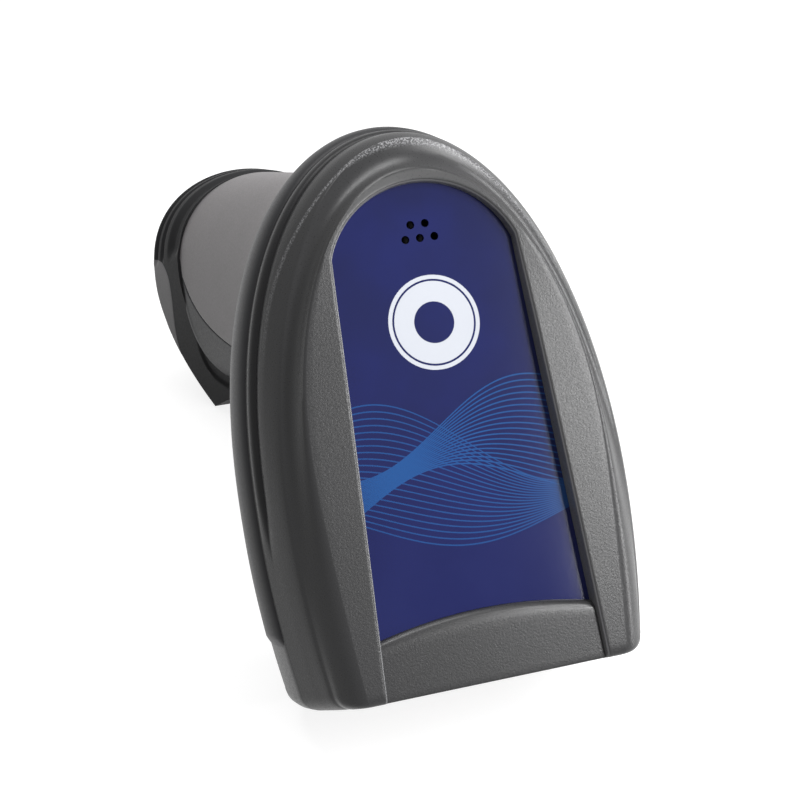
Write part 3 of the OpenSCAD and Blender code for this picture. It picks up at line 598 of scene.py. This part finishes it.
# The seam between the grip's halves: the height of its curve over the grip's end, where it ends
# at the front, how far it runs back, its gap and the roll of its edge.
SEAM_HEIGHT, SEAM_FRONT, SEAM_RUN = 62.6, 61.0, 27.5
SEAM_GAP = 0.003
SEAM_EDGE = ((0.0, 0.5), (0.0, 0.18), (0.003, 0.05), (0.009, 0.0))
# The trigger's slot in the front cover, from its lowest to its highest corner.
TRIGGER_SLOT = ((-8.9, 30, -72.2), (8.9, 56.5, -37.0))


def grip_sizes(z, inset):
    """Half width, front and rear of the grip at a height."""
    u = min(1.0, max(0.0, (-HEAD_DEPTH - z) / (-HEAD_DEPTH - GRIP_END)))
    off_waist = (u - WAIST_AT) / (WAIST_AT if u < WAIST_AT else 1 - WAIST_AT)
    narrowing = WAIST * (1 - off_waist ** 2) - max(0.0, 1 - 20 * u)
    front = GRIP_FRONT - FRONT_LEAN * (1 - u) - FRONT_CURVE * exp(-8 * u)
    rear = GRIP_REAR - REAR_LEAN * (1 - u) - REAR_CURVE * (1 - u) ** 2
    return GRIP_HALF_W - narrowing - inset, front + inset, rear - inset


def ring_middle(front, rear):
    """Where a ring of the grip or the foot is widest."""
    return rear - MIDDLE_SHARE * (rear - front)


def grip_point(z, along, inset=0.0):
    """A point of the grip's half ring: along is 0 at the front, 1 at the side, 2 at the rear."""
    half_w, front, rear = grip_sizes(z, inset)
    middle = ring_middle(front, rear)
    if along <= 1:
        turn = along * pi / 2
        ahead = (middle - front) * max(0.0, cos(turn)) ** FRONT_FULL
        return half_w * sin(turn) ** SIDE_FULL, middle - ahead
    turn = (along - 1) * pi / 2
    return half_w * cos(turn), middle + (rear - middle) * sin(turn) ** REAR_FULL


def seam_y(z):
    """Where the grip's two halves part at a height."""
    share = (z - GRIP_END) / SEAM_HEIGHT
    if share >= 1:
        return SEAM_FRONT
    return SEAM_FRONT + SEAM_RUN * (1 - max(0.0, share) ** 0.6) ** 1.8


def seam_along(z):
    """The place of the seam along the grip's half ring."""
    _, front, rear = grip_sizes(z, 0.0)
    middle = ring_middle(front, rear)
    y = seam_y(z)
    if y < middle:
        return acos(((middle - y) / (middle - front)) ** (1 / FRONT_FULL)) / (pi / 2)
    return 1 + asin(((y - middle) / (rear - middle)) ** (1 / REAR_FULL)) / (pi / 2)


def grip_levels():
    """Heights from just inside the foot up to inside the head."""
    shares = [(k / GRIP_STEPS) ** 1.15 for k in range(GRIP_STEPS + 1)]
    return [GRIP_END - GRIP_IN_FOOT] + [mix(GRIP_END, GRIP_TOP, share) for share in shares]


def grip_half(name, rear_half, columns):
    """One half of the grip as a shell, with a rolled edge along the seam."""
    rings = []
    for z in grip_levels():
        seam = seam_along(z)
        start, end = (seam + SEAM_GAP, 2.0) if rear_half else (seam - SEAM_GAP, 0.0)
        outer = [(mix(start, end, share), inset) for share, inset in SEAM_EDGE]
        outer += [(mix(start, end, mix(0.02, 1.0, k / columns)), 0.0) for k in range(columns + 1)]
        few = columns // 2
        inner = [(mix(start, end, k / few), GRIP_WALL) for k in range(few + 1)]
        back = [(-side, place) for side, place in both_sides(inner)]
        ring = []
        for side, (along, inset) in both_sides(outer) + back:
            x, y = grip_point(z, along, inset)
            ring.append((side * x, y, z))
        rings.append(ring)
    return loft(name, rings, cap=True)


def make_grip_shell():
    piece = grip_half("grip_shell", True, 34)
    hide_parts("grip_rear")
    lay_down(piece)


def cut_box(piece, low, high):
    """Cut a straight slot through a piece."""
    bpy.ops.object.select_all(action="DESELECT")
    middle = [(a + b) / 2 for a, b in zip(low, high)]
    sides = [b - a for a, b in zip(low, high)]
    bpy.ops.mesh.primitive_cube_add(size=1, location=middle, scale=sides)
    cutter = bpy.context.object
    bpy.ops.object.transform_apply(location=True, rotation=False, scale=True)
    apply_modifier(piece, "BOOLEAN", object=cutter, operation="DIFFERENCE", solver="EXACT")
    bpy.data.objects.remove(cutter)


def make_grip_front():
    piece = grip_half("grip_front_cover", False, 30)
    cut_box(piece, *TRIGGER_SLOT)
    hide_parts("grip_front")
    lay_down(piece)


# The foot: its end, height and wall, and the rounding of its lower edge.
FOOT_END = -130.0
FOOT_HEIGHT = 17.6
FOOT_WALL = 3.0
FOOT_ROUND, FOOT_ROUND_SHARE = 0.45, 0.035
# Its half width, its flat front's half width, its front and its rear, each at the foot's end and
# by how much it changes up to the top; and how much its side and its heel bow.
FOOT_SIZES = ((23.2, -2.4), (14.4, -3.0), (55.8, 1.5), (109.4, -3.4))
FOOT_SIDE_BOW, HEEL_BOW = 1.75, 0.8
FOOT_LEVELS = [0.0, 0.012, 0.035] + [0.06 + 0.94 * k / 60 for k in range(61)]
FOOT_COLUMNS = both_sides([0.02 * k for k in range(50)] + [1 + k / 44 for k in range(45)])
# The step under the grip's front cover: its lowest place, how fast it climbs, and its depth.
TOE_Y, TOE_Z = 63.5, 10.4
TOE_CLIMB_AHEAD, TOE_CLIMB_BACK = 0.19, 0.083
TOE_STEP = 0.4
# The heel's grooves, in shares of the foot's height, and between which places they fade in.
GROOVE_CENTRES = (0.15, 0.38)
GROOVE_HALF, GROOVE_DEPTH = 0.075, 0.85
HEEL_FADE = (89.0, 92.5)


def foot_sizes(u, inset):
    """Half width, flat front's half width, front and rear of the foot at a share of its height."""
    half_w, edge, front, rear = (end + change * u for end, change in FOOT_SIZES)
    return half_w - inset, edge - inset, front + inset, rear - inset


def foot_point(u, along, inset=0.0):
    """A point of the foot's half ring: 0 at the front's corner, 1 at the side, 2 at the heel."""
    half_w, edge, front, rear = foot_sizes(u, inset)
    middle = ring_middle(front, rear)
    if along <= 1:
        back = 1 - along
        return half_w - (half_w - edge) * back ** FOOT_SIDE_BOW, middle - (middle - front) * back
    turn = (along - 1) * pi / 2
    return half_w * cos(turn), middle + (rear - middle) * sin(turn) ** HEEL_BOW


def along_foot(u, y):
    """The place along the foot's half ring that has a given y."""
    _, _, front, rear = foot_sizes(u, 0.0)
    middle = ring_middle(front, rear)
    if y < middle:
        return 1 - (middle - y) / (middle - front)
    return 1 + asin(min(1.0, ((y - middle) / (rear - middle)) ** (1 / HEEL_BOW))) / (pi / 2)


def foot_edge(u):
    """How far the foot's lower edge is rounded in at a share of its height."""
    return FOOT_ROUND * (1 - smooth_step(u, 0.0, FOOT_ROUND_SHARE))


def toe_line(y):
    """The height, from the foot's end, of the step where the grip's front cover begins."""
    back = y - TOE_Y
    return TOE_Z + (TOE_CLIMB_BACK if back > 0 else TOE_CLIMB_AHEAD) * back * back


def groove(u, centre):
    """The depth of a rounded groove across the heel at a share of the foot's height."""
    return GROOVE_DEPTH * (1 - smooth_step(abs(u - centre) / GROOVE_HALF, 0.25, 1.0))


def heel_depth(u, y):
    """How deep the heel's two grooves and the hollow above them are."""
    depth = (groove(u, GROOVE_CENTRES[0]) + groove(u, GROOVE_CENTRES[1])
             + 0.95 * smooth_step(u, 0.58, 0.72) - 0.6 * smooth_step(u, 0.86, 1.0))
    return depth * smooth_step(y, *HEEL_FADE)


def make_foot():
    rings = []
    for u in FOOT_LEVELS:
        ring = []
        for side, along in FOOT_COLUMNS:
            _, y = foot_point(u, along, foot_edge(u))
            depth = heel_depth(u, y)
            depth += TOE_STEP * smooth_step(FOOT_HEIGHT * u - toe_line(y), 0.0, 0.5)
            x, y = foot_point(u, along, foot_edge(u) + depth)
            ring.append((side * x, y, FOOT_END + FOOT_HEIGHT * u))
        rings.append(ring)
    for u in (1.0, 0.0):
        ring = []
        for side, along in FOOT_COLUMNS:
            x, y = foot_point(u, along, FOOT_WALL)
            ring.append((side * x, y, FOOT_END + FOOT_HEIGHT * u))
        rings.append(ring)
    piece = loft("foot_boot", rings + [rings[0]])
    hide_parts("foot")
    lay_down(piece)


# The leaf in the foot's side: its front, peak and rear, its lower edge, tip and height, its wall,
# how far its rows stand proud from the edge inwards, and the shares of its height.
TRIM_FRONT, TRIM_PEAK, TRIM_REAR = 67.7, 84.1, 91.1
LEAF_LOW, LEAF_TIP, LEAF_HEIGHT = 0.12, 0.6, 10.4
TRIM_WALL = 0.9
TRIM_PROUD = (-0.25, 0.0, 0.04, 0.05)
TRIM_STEPS = 56
TRIM_SHARES = ([0.0, 0.015, 0.04] + [mix(0.04, 0.96, j / 16) for j in range(1, 16)]
               + [0.96, 0.985, 1.0])


def leaf_height(y):
    """The leaf's height at a place along the foot: slowly up to its peak, then round and down."""
    if y <= TRIM_PEAK:
        rise = smooth_step(y, TRIM_FRONT - LEAF_TIP, TRIM_PEAK)
        return LEAF_TIP + (LEAF_HEIGHT - LEAF_TIP) * rise
    back = (y - TRIM_PEAK) / (TRIM_REAR - TRIM_PEAK)
    return LEAF_HEIGHT * sqrt(max(0.004, 1 - back * back))


def make_trim(side, name, node):
    """The light leaf let into the foot's side, flush with it, with its edges sunk in."""
    rows = []
    for k in range(TRIM_STEPS + 1):
        y = mix(TRIM_FRONT, TRIM_REAR, sin(k / TRIM_STEPS * pi / 2))
        row = []
        for j, share in enumerate(TRIM_SHARES):
            height = mix(LEAF_LOW, leaf_height(y), share)
            u = height / FOOT_HEIGHT
            near = min(j, len(TRIM_SHARES) - 1 - j, k, TRIM_STEPS - k, len(TRIM_PROUD) - 1)
            inset = foot_edge(u) + heel_depth(u, y) - TRIM_PROUD[near]
            x, skin_y = foot_point(u, along_foot(u, y), inset)
            row.append((side * x, skin_y, FOOT_END + height))
        rows.append(row)
    piece = wall(loft(name, rows, closed=False), TRIM_WALL, (side, 0, 0))
    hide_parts(node)
    lay_down(piece)


# The trigger's coil lies along the head between the trigger's pocket and the frame's plate.
COIL_FRONT, COIL_BACK, COIL_Z = 50.58, 61.0, -65.0
COIL_R = 2.1
COIL_WIRE = 0.35
COIL_TURNS = 5
COIL_STEPS = 120
COIL_SIDES = 8


def make_trigger_coil():
    """The coil behind the trigger, a helix of wire laid along the head, with a mesh of its own."""
    rings = []
    for step in range(COIL_STEPS + 1):
        share = step / COIL_STEPS
        turn = radians(360 * COIL_TURNS * share)
        middle = mix(COIL_FRONT + COIL_WIRE, COIL_BACK - COIL_WIRE, share)
        ring = []
        for side in range(COIL_SIDES):
            way = radians(360 * side / COIL_SIDES)
            reach = COIL_R + COIL_WIRE * cos(way)
            y = middle + COIL_WIRE * sin(way)
            ring.append((reach * cos(turn), y, COIL_Z + reach * sin(turn)))
        rings.append(ring)
    piece = loft("trigger_coil", rings, cap=True)
    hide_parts("trigger_spring")
    lay_down(piece)
    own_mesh(piece)


make_upper_housing()
make_lower_housing()
make_bumper()
make_grip_shell()
make_grip_front()
make_foot()
make_trim(-1, "foot_strip_left", "foot_trim_left")
make_trim(1, "foot_strip_right", "foot_trim_right")
make_trigger_coil()


# Colours and finishes.
def tone(red, green, blue):
    """A screen colour from 0 to 255 as linear light."""
    return [((c / 255 + 0.055) / 1.055) ** 2.4 if c > 10 else c / 255 / 12.92
            for c in (red, green, blue)] + [1.0]


def finish(name, base, rough):
    """A material with its shader ready: returns the material, its node tree and the shader."""
    material = bpy.data.materials.new(name)
    material.use_nodes = True
    tree = material.node_tree
    shader = tree.nodes["Principled BSDF"]
    shader.inputs["Base Color"].default_value = base
    shader.inputs["Roughness"].default_value = rough
    return material, tree, shader


def feed(made, name, value):
    """Link a socket to a node's input, or set a number or colour on that input."""
    socket = made.inputs[name]
    if isinstance(value, bpy.types.NodeSocket):
        made.id_data.links.new(value, socket)
    else:
        socket.default_value = value


def node(tree, kind, settings=None, **inputs):
    """Add a node and feed its inputs, by their names or by their numbers as i0, i1 and so on."""
    made = tree.nodes.new("ShaderNode" + kind)
    for key, value in (settings or {}).items():
        setattr(made, key, value)
    for key, value in inputs.items():
        numbered = key[0] == "i" and key[1:].isdigit()
        feed(made, int(key[1:]) if numbered else key.replace("_", " "), value)
    return made


def head_place(tree):
    """The place of a point in the head's frame, in millimetres."""
    here = node(tree, "TexCoord").outputs["Object"]
    return node(tree, "Mapping", Vector=here, Location=HEAD_TO_ROW.inverted().translation,
                Rotation=(-LEAN, 0, 0), Scale=(1 / MM, 1 / MM, 1 / MM)).outputs[0]


def split(place):
    """A place's three measures."""
    return node(place.id_data, "SeparateXYZ", Vector=place).outputs


def maths(operation, *values):
    """One sum on numbers and sockets, in the sockets' own node tree."""
    tree = next(value.id_data for value in values if isinstance(value, bpy.types.NodeSocket))
    made = node(tree, "Math", {"operation": operation})
    for number, value in enumerate(values):
        feed(made, number, value)
    return made.outputs[0]


def ramp(value, low, high, start=0.0, end=1.0):
    """A smooth change from start to end as the value goes from low to high."""
    made = node(value.id_data, "MapRange", {"interpolation_type": "SMOOTHSTEP"})
    for number, setting in enumerate((value, low, high, start, end)):
        feed(made, number, setting)
    return made.outputs[0]


def noise(place, scale, detail):
    """A soft noise; the scale is how many of its shapes go to a millimetre."""
    return node(place.id_data, "TexNoise", Vector=place, Scale=scale, Detail=detail).outputs[0]


def blend_tone(share, first, second):
    made = node(share.id_data, "Mix", {"data_type": "RGBA"}, i0=share, i6=first, i7=second)
    return made.outputs[2]


def shade(colour, factor):
    """A colour made darker or lighter by a factor."""
    return [c * factor for c in colour[:3]] + [1.0]


def emboss(shader, height, depth, strength=1.0):
    """Let a height stand out of the surface, by a depth in millimetres."""
    bump = node(shader.id_data, "Bump", Height=height, Strength=strength, Distance=depth * MM)
    feed(shader, "Normal", bump.outputs[0])


# How much of the moulded grain is cells, and how far its cloud of tone goes either way.
CELL_SHARE = 0.35
CLOUD_SPREAD = 0.1


def moulded(name, colour, rough, grain=0.42, depth=0.01, gloss=0.5, smooth=None):
    """Moulded plastic: a fine spark-eroded grain, a faint cloud of tone and uneven gloss."""
    base = tone(*colour)
    material, tree, shader = finish(name, base, rough)
    feed(shader, "Specular IOR Level", gloss)
    place = head_place(tree)
    grit = node(tree, "TexNoise", Vector=place, Scale=1 / grain, Detail=3.0,
                Roughness=0.6).outputs[0]
    cells = node(tree, "TexVoronoi", {"feature": "SMOOTH_F1"}, Vector=place, Scale=0.8 / grain)
    height = node(tree, "Mix", {"data_type": "FLOAT"}, i0=CELL_SHARE, i2=grit,
                  i3=cells.outputs[0]).outputs[0]
    strength = maths("SUBTRACT", 1.0, smooth(place)) if smooth else 1.0
    emboss(shader, height, depth, strength)
    cloud = noise(place, 0.06, 4.0)
    dark, light = shade(base, 1 - CLOUD_SPREAD), shade(base, 1 + CLOUD_SPREAD)
    feed(shader, "Base Color", blend_tone(cloud, dark, light))
    feed(shader, "Roughness", ramp(grit, 0.3, 0.7, rough - 0.05, rough + 0.06))
    return material


# The rim's crest, where glints are painted in: between which places it climbs to the rear, and its
# height on the left, on the right and at the rear.
CREST_CLIMB = (66.0, 93.0)
CREST_LEFT, CREST_RIGHT, CREST_REAR = -6.4, -2.4, -1.95


def painted_crest_glints(place):
    """Mask of painted highlights: 1 along the rim's crest and 0 off it, fading towards the nose,
    lower down on the left.
    """
    x, y, z = split(place)
    rear = ramp(y, *CREST_CLIMB)
    flank = ramp(x, -6.0, 6.0, CREST_LEFT, CREST_RIGHT)
    rise = maths("MULTIPLY", rear, maths("SUBTRACT", CREST_REAR, flank))
    off = maths("ABSOLUTE", maths("SUBTRACT", z, maths("ADD", flank, rise)))
    reach = ramp(y, *CREST_CLIMB, 0.9, 0.4)
    near = ramp(maths("DIVIDE", off, reach), 0.25, 1.0, 1.0, 0.0)
    return maths("MULTIPLY", near, ramp(y, 50.0, 86.0))


def housing_plastic():
    """The housings' black plastic: duller low on the flanks, with a painted highlight of light
    specks along the crest and painted light round the panel.
    """
    material = moulded("housing_plastic", (39, 39, 40), 0.315, grain=0.3, depth=0.032,
                       smooth=polished_slope)
    tree = material.node_tree
    shader = next(part for part in tree.nodes if part.type == "BSDF_PRINCIPLED")
    place = head_place(tree)
    height = split(place)[2]
    feed(shader, "Specular IOR Level", ramp(height, -6.0, -1.5, 0.12, 0.3))
    # Painted highlight: specks along the crest are blended to a light grey, standing in for glints
    # of light on the grained crest.
    glint_specks = ramp(noise(place, 1 / 0.3, 2.0), 0.46, 0.62, 0.1, 0.8)
    painted_glints = maths("MULTIPLY", painted_crest_glints(place), glint_specks)
    plain = shader.inputs["Base Color"].links[0].from_socket
    # Painted light: round the panel the base is blended to a paler grey, standing in for the light
    # on its wall and rounded edge.
    painted_surround_light = node(tree, "Attribute", {"attribute_name": "painted_surround_light"}).outputs["Fac"]
    surround_painted_light = blend_tone(painted_surround_light, plain, tone(120, 120, 122))
    feed(shader, "Base Color", blend_tone(painted_glints, surround_painted_light, tone(138, 138, 140)))
    return material


def polished_slope(place):
    """1 on the chin's slope above the label's front arc, where the mould is polished."""
    x, y, z = split(place)
    below = ramp(z, CHIN_HEIGHT - 0.12, CHIN_HEIGHT - 0.02, 1.0, 0.0)
    ahead = ramp(y, LABEL_FRONT[1] - CHIN_SLOPE - 1.5, LABEL_FRONT[1] - CHIN_SLOPE - 1.0)
    inside = ramp(maths("ABSOLUTE", x), 18.7, 18.9, 1.0, 0.0)
    return maths("MULTIPLY", maths("MULTIPLY", below, ahead), inside)


def bare_metal(name, colour, rough, stretch=(1.0, 1.0, 1.0)):
    """Metal with fine drawn or ground lines, uneven gloss and a faint tarnish."""
    base = tone(*colour)
    material, tree, shader = finish(name, base, rough)
    feed(shader, "Metallic", 1.0)
    place = head_place(tree)
    drawn = node(tree, "Mapping", Vector=place, Scale=stretch).outputs[0]
    lines = noise(drawn, 4.0, 4.0)
    tarnish = ramp(noise(place, 0.5, 5.0), 0.35, 0.65)
    feed(shader, "Base Color", blend_tone(tarnish, shade(base, 0.82), base))
    feed(shader, "Roughness", ramp(lines, 0.3, 0.7, rough - 0.08, rough + 0.1))
    emboss(shader, lines, 0.004)
    return material


def clear_pane(name, tint, rough, coat):
    """Tinted clear plastic or glass, with a faint haze of handling and a coating at the edges."""
    material, tree, shader = finish(name, tone(*tint), rough)
    feed(shader, "Transmission Weight", 1.0)
    feed(shader, "IOR", 1.49)
    haze = noise(head_place(tree), 0.35, 6.0)
    feed(shader, "Roughness", ramp(haze, 0.4, 0.7, rough, rough + 0.06))
    edge = node(tree, "LayerWeight", Blend=0.35).outputs["Facing"]
    feed(shader, "Base Color", blend_tone(edge, tone(*tint), tone(*coat)))
    return material


def circuit_board(name):
    """Green coated board: copper tracks a shade lighter under the coat, and tinned pads."""
    material, tree, shader = finish(name, tone(22, 78, 44), 0.35)
    place = head_place(tree)
    x = split(place)[0]
    wander = noise(place, 0.12, 1.0)
    across = maths("MULTIPLY_ADD", wander, 6.0, maths("DIVIDE", x, 1.6))
    off = maths("ABSOLUTE", maths("SUBTRACT", maths("FRACT", across), 0.5))
    track = ramp(off, 0.14, 0.18, 1.0, 0.0)
    copper = blend_tone(track, tone(20, 70, 40), tone(38, 104, 58))
    dots = node(tree, "TexVoronoi", Vector=place, Scale=0.33).outputs["Distance"]
    pad = ramp(dots, 0.13, 0.15, 1.0, 0.0)
    feed(shader, "Base Color", blend_tone(pad, copper, tone(176, 178, 174)))
    emboss(shader, maths("MAXIMUM", track, pad), 0.03)
    return material


def shrink_wrap(name, colour):
    """A cell's shrunk sleeve: glossy film with long faint wrinkles and a darker overlap."""
    base = tone(*colour)
    material, tree, shader = finish(name, base, 0.25)
    place = head_place(tree)
    x = split(place)[0]
    drawn = node(tree, "Mapping", Vector=place, Scale=(1.0, 1.0, 0.12)).outputs[0]
    wrinkle = noise(drawn, 0.9, 4.0)
    lap = ramp(maths("ABSOLUTE", maths("ADD", x, 3.0)), 0.9, 1.1, 1.0, 0.0)
    deep = maths("MAXIMUM", lap, ramp(wrinkle, 0.45, 0.75, 0.0, 0.5))
    feed(shader, "Base Color", blend_tone(deep, base, shade(base, 0.6)))
    emboss(shader, wrinkle, 0.12)
    return material


# How far the lamps' squares of phosphor lie from the middle, and their height.
PHOSPHOR_X, PHOSPHOR_Z = 9.8, -18.5


def lamp_dome(name):
    """A white lamp's clear dome over its yellow square of phosphor."""
    material, tree, shader = finish(name, tone(228, 222, 196), 0.18)
    place = head_place(tree)
    x, _, z = split(place)
    sideways = maths("SUBTRACT", maths("ABSOLUTE", x), PHOSPHOR_X)
    up = maths("ABSOLUTE", maths("SUBTRACT", z, PHOSPHOR_Z))
    off = maths("MAXIMUM", maths("ABSOLUTE", sideways), maths("MULTIPLY", up, 0.75))
    square = ramp(off, 1.1, 1.3, 1.0, 0.0)
    grit = noise(place, 6.0, 2.0)
    yellow = blend_tone(grit, tone(222, 196, 92), tone(236, 214, 120))
    feed(shader, "Base Color", blend_tone(square, tone(232, 230, 218), yellow))
    return material


# The printed panel: two families of fine lines on dark blue, and a ring mark with its middle, its
# radius, the gap in it and its open hub.
LINE_WIDTH = 0.17
MARK_Y = 60.8
MARK_R = 8.1
MARK_GAP = ((7.0, 7.1), (7.35, 7.45))
MARK_HUB = (3.5, 3.6)


def line_family(y, middle, spread, count, strength):
    """Fine lines that run along a middle curve and open and close with its spread."""
    where = maths("DIVIDE", maths("SUBTRACT", y, middle), spread)
    inside = maths("LESS_THAN", maths("ABSOLUTE", where), 1.0)
    stripe = maths("MULTIPLY", where, count / 2)
    off = maths("ABSOLUTE", maths("SUBTRACT", maths("FRACT", stripe), 0.5))
    distance = maths("MULTIPLY", off, maths("MULTIPLY", spread, 2 / count))
    line = ramp(distance, LINE_WIDTH * 0.4, LINE_WIDTH, 1.0, 0.0)
    return maths("MULTIPLY", maths("MULTIPLY", line, inside), strength)


def wave(x, length, shift, height, level):
    """A sine along x."""
    turn = maths("MULTIPLY_ADD", x, 2 * pi / length, shift)
    return maths("MULTIPLY_ADD", maths("SINE", turn), height, level)


def printed_panel():
    """The panel's gloss film: a clouded dark blue, its lines, its ring mark and a faint peel."""
    material, tree, shader = finish("printed_panel", tone(32, 38, 97), 0.09)
    feed(shader, "Specular IOR Level", 0.2)
    place = head_place(tree)
    x, y, _ = split(place)
    deep = blend_tone(ramp(y, 8, 60), tone(18, 24, 74), tone(21, 26, 68))
    cloud = ramp(noise(place, 0.05, 3.0), 0.35, 0.65)
    ground = blend_tone(cloud, deep, tone(22, 28, 77))
    first = line_family(y, wave(x, 66.0, 0.9, 4.6, 37.0), wave(x, 60.0, -0.4, 4.2, 6.0), 18, 0.62)
    second = line_family(y, wave(x, 74.0, 3.4, 5.4, 33.5), wave(x, 64.0, 2.5, 5.0, 7.0), 20, 0.5)
    printed = blend_tone(maths("MAXIMUM", first, second), ground, tone(30, 84, 144))
    along = maths("POWER", maths("SUBTRACT", y, MARK_Y), 2.0)
    away = maths("SQRT", maths("ADD", maths("POWER", x, 2.0), along))
    disc = ramp(away, MARK_R - 0.05, MARK_R + 0.05, 1.0, 0.0)
    gap = maths("SUBTRACT", *(ramp(away, *edge) for edge in MARK_GAP))
    hub = ramp(away, *MARK_HUB, 1.0, 0.0)
    mark = maths("SUBTRACT", maths("SUBTRACT", disc, gap), hub)
    feed(shader, "Base Color", blend_tone(mark, printed, tone(178, 181, 188)))
    emboss(shader, noise(place, 0.9, 2.0), 0.004)
    return material


def dress(names, material):
    """Give pieces of the scene, or CAD nodes that stay, their material."""
    for name in names:
        piece = bpy.data.objects[name]
        if piece.material_slots:
            for slot in piece.material_slots:
                slot.material = material
        else:
            piece.data.materials.append(material)


dress(["upper_housing", "lower_housing"], housing_plastic())
dress(["bumper_band"],
      moulded("bumper_rubber", (38, 38, 40), 0.42, grain=0.3, depth=0.008, gloss=0.18))
dress(["grip_shell"], moulded("grip_shell_grey", (111, 108, 109), 0.5, depth=0.008, gloss=0.25))
dress(["grip_front_cover"], moulded("grip_front_dark", (34, 34, 36), 0.45, gloss=0.1))
dress(["foot_boot"], moulded("foot_rubber", (43, 43, 44), 0.5, depth=0.008, gloss=0.03))
dress(["foot_strip_left", "foot_strip_right"],
      moulded("foot_strip_grey", (92, 91, 92), 0.5, depth=0.008, gloss=0.2))
dress(["label_panel"], printed_panel())
dress(["nose_frame", "trigger_frame", "battery_cradle"],
      moulded("frame_black", (36, 36, 38), 0.45, grain=0.35, depth=0.02, gloss=0.6))
dress(["buzzer"], moulded("buzzer_black", (12, 12, 13), 0.6, grain=0.2, gloss=0.06))
dress(["engine_housing", "trigger_switch"],
      moulded("small_part_black", (26, 26, 28), 0.4, grain=0.2, gloss=0.6))
dress(["trigger"], moulded("trigger_black", (34, 34, 36), 0.38, grain=0.3, gloss=0.3))
dress(["window_gasket"],
      moulded("gasket_foam", (22, 22, 23), 0.85, grain=0.25, depth=0.08, gloss=0.3))
dress(["foot_plate"], moulded("foot_plate_black", (40, 40, 42), 0.5, grain=0.5, depth=0.03))
dress(["board_chips"], moulded("chip_epoxy", (24, 24, 25), 0.5, grain=0.12))
dress(["scan_window"], clear_pane("scan_window_red", (196, 70, 84), 0.03, (120, 30, 44)))
dress(["engine_lens"], clear_pane("coated_lens", (176, 190, 226), 0.01, (120, 84, 190)))
dress(["aimer_lens"], clear_pane("aimer_lens_red", (230, 92, 96), 0.02, (170, 40, 48)))
dress(["illumination_leds"], lamp_dome("lamp_dome"))
dress(["engine_bracket"], bare_metal("folded_aluminium", (200, 202, 206), 0.38, (0.2, 3.0, 3.0)))
dress(["main_board", "charge_board"], circuit_board("circuit_board"))
dress(["charge_contacts"], bare_metal("gold_plating", (226, 186, 104), 0.25))
dress(["charge_port"], bare_metal("plated_shell", (196, 198, 202), 0.3, (0.3, 2.0, 2.0)))
dress(["case_screws"], bare_metal("screw_steel", (150, 151, 155), 0.35))
dress(["trigger_pin", "trigger_coil"],
      bare_metal("spring_steel", (186, 187, 190), 0.25, (0.2, 2.0, 2.0)))
dress(["battery_cell"], shrink_wrap("cell_sleeve", (40, 92, 158)))


# The stage: a pale floor, a pale world and soft studio lamps.
def seen_share(tree):
    """1 for the rays that see the background, straight or in a reflection, and 0 for the rest."""
    path = node(tree, "LightPath")
    seen = maths("MAXIMUM", path.outputs["Is Camera Ray"], path.outputs["Is Glossy Ray"])
    return maths("MAXIMUM", seen, path.outputs["Is Transmission Ray"])


def make_floor():
    bpy.ops.object.select_all(action="DESELECT")
    bpy.ops.mesh.primitive_plane_add(size=6, location=(0, 0, -0.0002))
    floor = bpy.context.object
    floor.name = floor.data.name = "studio_floor"
    material, tree, shader = finish("floor_white", (0.35, 0.35, 0.35, 1), 0.9)
    feed(shader, "Specular IOR Level", 0.0)
    feed(shader, "Emission Color", (1, 1, 1, 1))
    here = node(tree, "TexCoord").outputs["Object"]
    away = node(tree, "VectorMath", {"operation": "LENGTH"}, i0=here).outputs["Value"]
    white = ramp(away, 0.25, 1.1, 0.82, 0.93)
    feed(shader, "Emission Strength", maths("MULTIPLY", seen_share(tree), white))
    floor.data.materials.append(material)


WORLD_LEVEL = 0.22


def make_world():
    world = bpy.data.worlds.new("studio_world")
    bpy.context.scene.world = world
    world.use_nodes = True
    tree = world.node_tree
    background = tree.nodes["Background"]
    feed(background, "Color", (1, 1, 1, 1))
    feed(background, "Strength", ramp(seen_share(tree), 0.0, 1.0, WORLD_LEVEL, 1.0))


def make_lamp(name, place, aim, power, size, size_y=None):
    """A soft box; its place and aim are in the head's frame, in millimetres."""
    place, aim = HEAD_TO_ROW @ Vector(place), HEAD_TO_ROW @ Vector(aim)
    bpy.ops.object.select_all(action="DESELECT")
    bpy.ops.object.light_add(type="AREA", location=place)
    lamp = bpy.context.object
    lamp.name = name
    lamp.data.energy = power
    lamp.data.shape = "RECTANGLE"
    lamp.data.size = size * MM
    lamp.data.size_y = (size_y or size) * MM
    back = (place - aim).normalized()
    across = Vector((1, 0, 0))
    across = (across - back * across.dot(back)).normalized()
    lamp.rotation_euler = Matrix((across, back.cross(across), back)).transposed().to_euler()


CAMERA_PLACE = (-0.1025946, -0.3351039, 0.2268865)
CAMERA_TURN = radians(-18.7537)
CAMERA_RISE = radians(29.3777)


def make_camera():
    """The photograph's camera, which looks down on the scanner from its left."""
    turn = (pi / 2 - CAMERA_RISE, 0, CAMERA_TURN)
    bpy.ops.object.camera_add(location=CAMERA_PLACE, rotation=turn)
    camera = bpy.context.object
    camera.name = "photo_camera"
    camera.data.lens = 90
    camera.data.sensor_width = 36
    camera.data.clip_start = 0.01
    bpy.context.scene.camera = camera


make_floor()
make_world()
make_lamp("key_right", (177, 85, 300), (0, 48, 0), 1.45, 70, 230)
make_lamp("key_rear", (205, 260, 230), (10, 88, 0), 0.8, 110)
make_lamp("side_right", (290, 130, 50), (30, 130, 0), 1.0, 60, 380)
make_lamp("top_soft", (-60, 560, 120), (0, 60, -30), 1.9, 400, 120)
make_camera()

bpy.context.scene.view_settings.view_transform = "Standard"
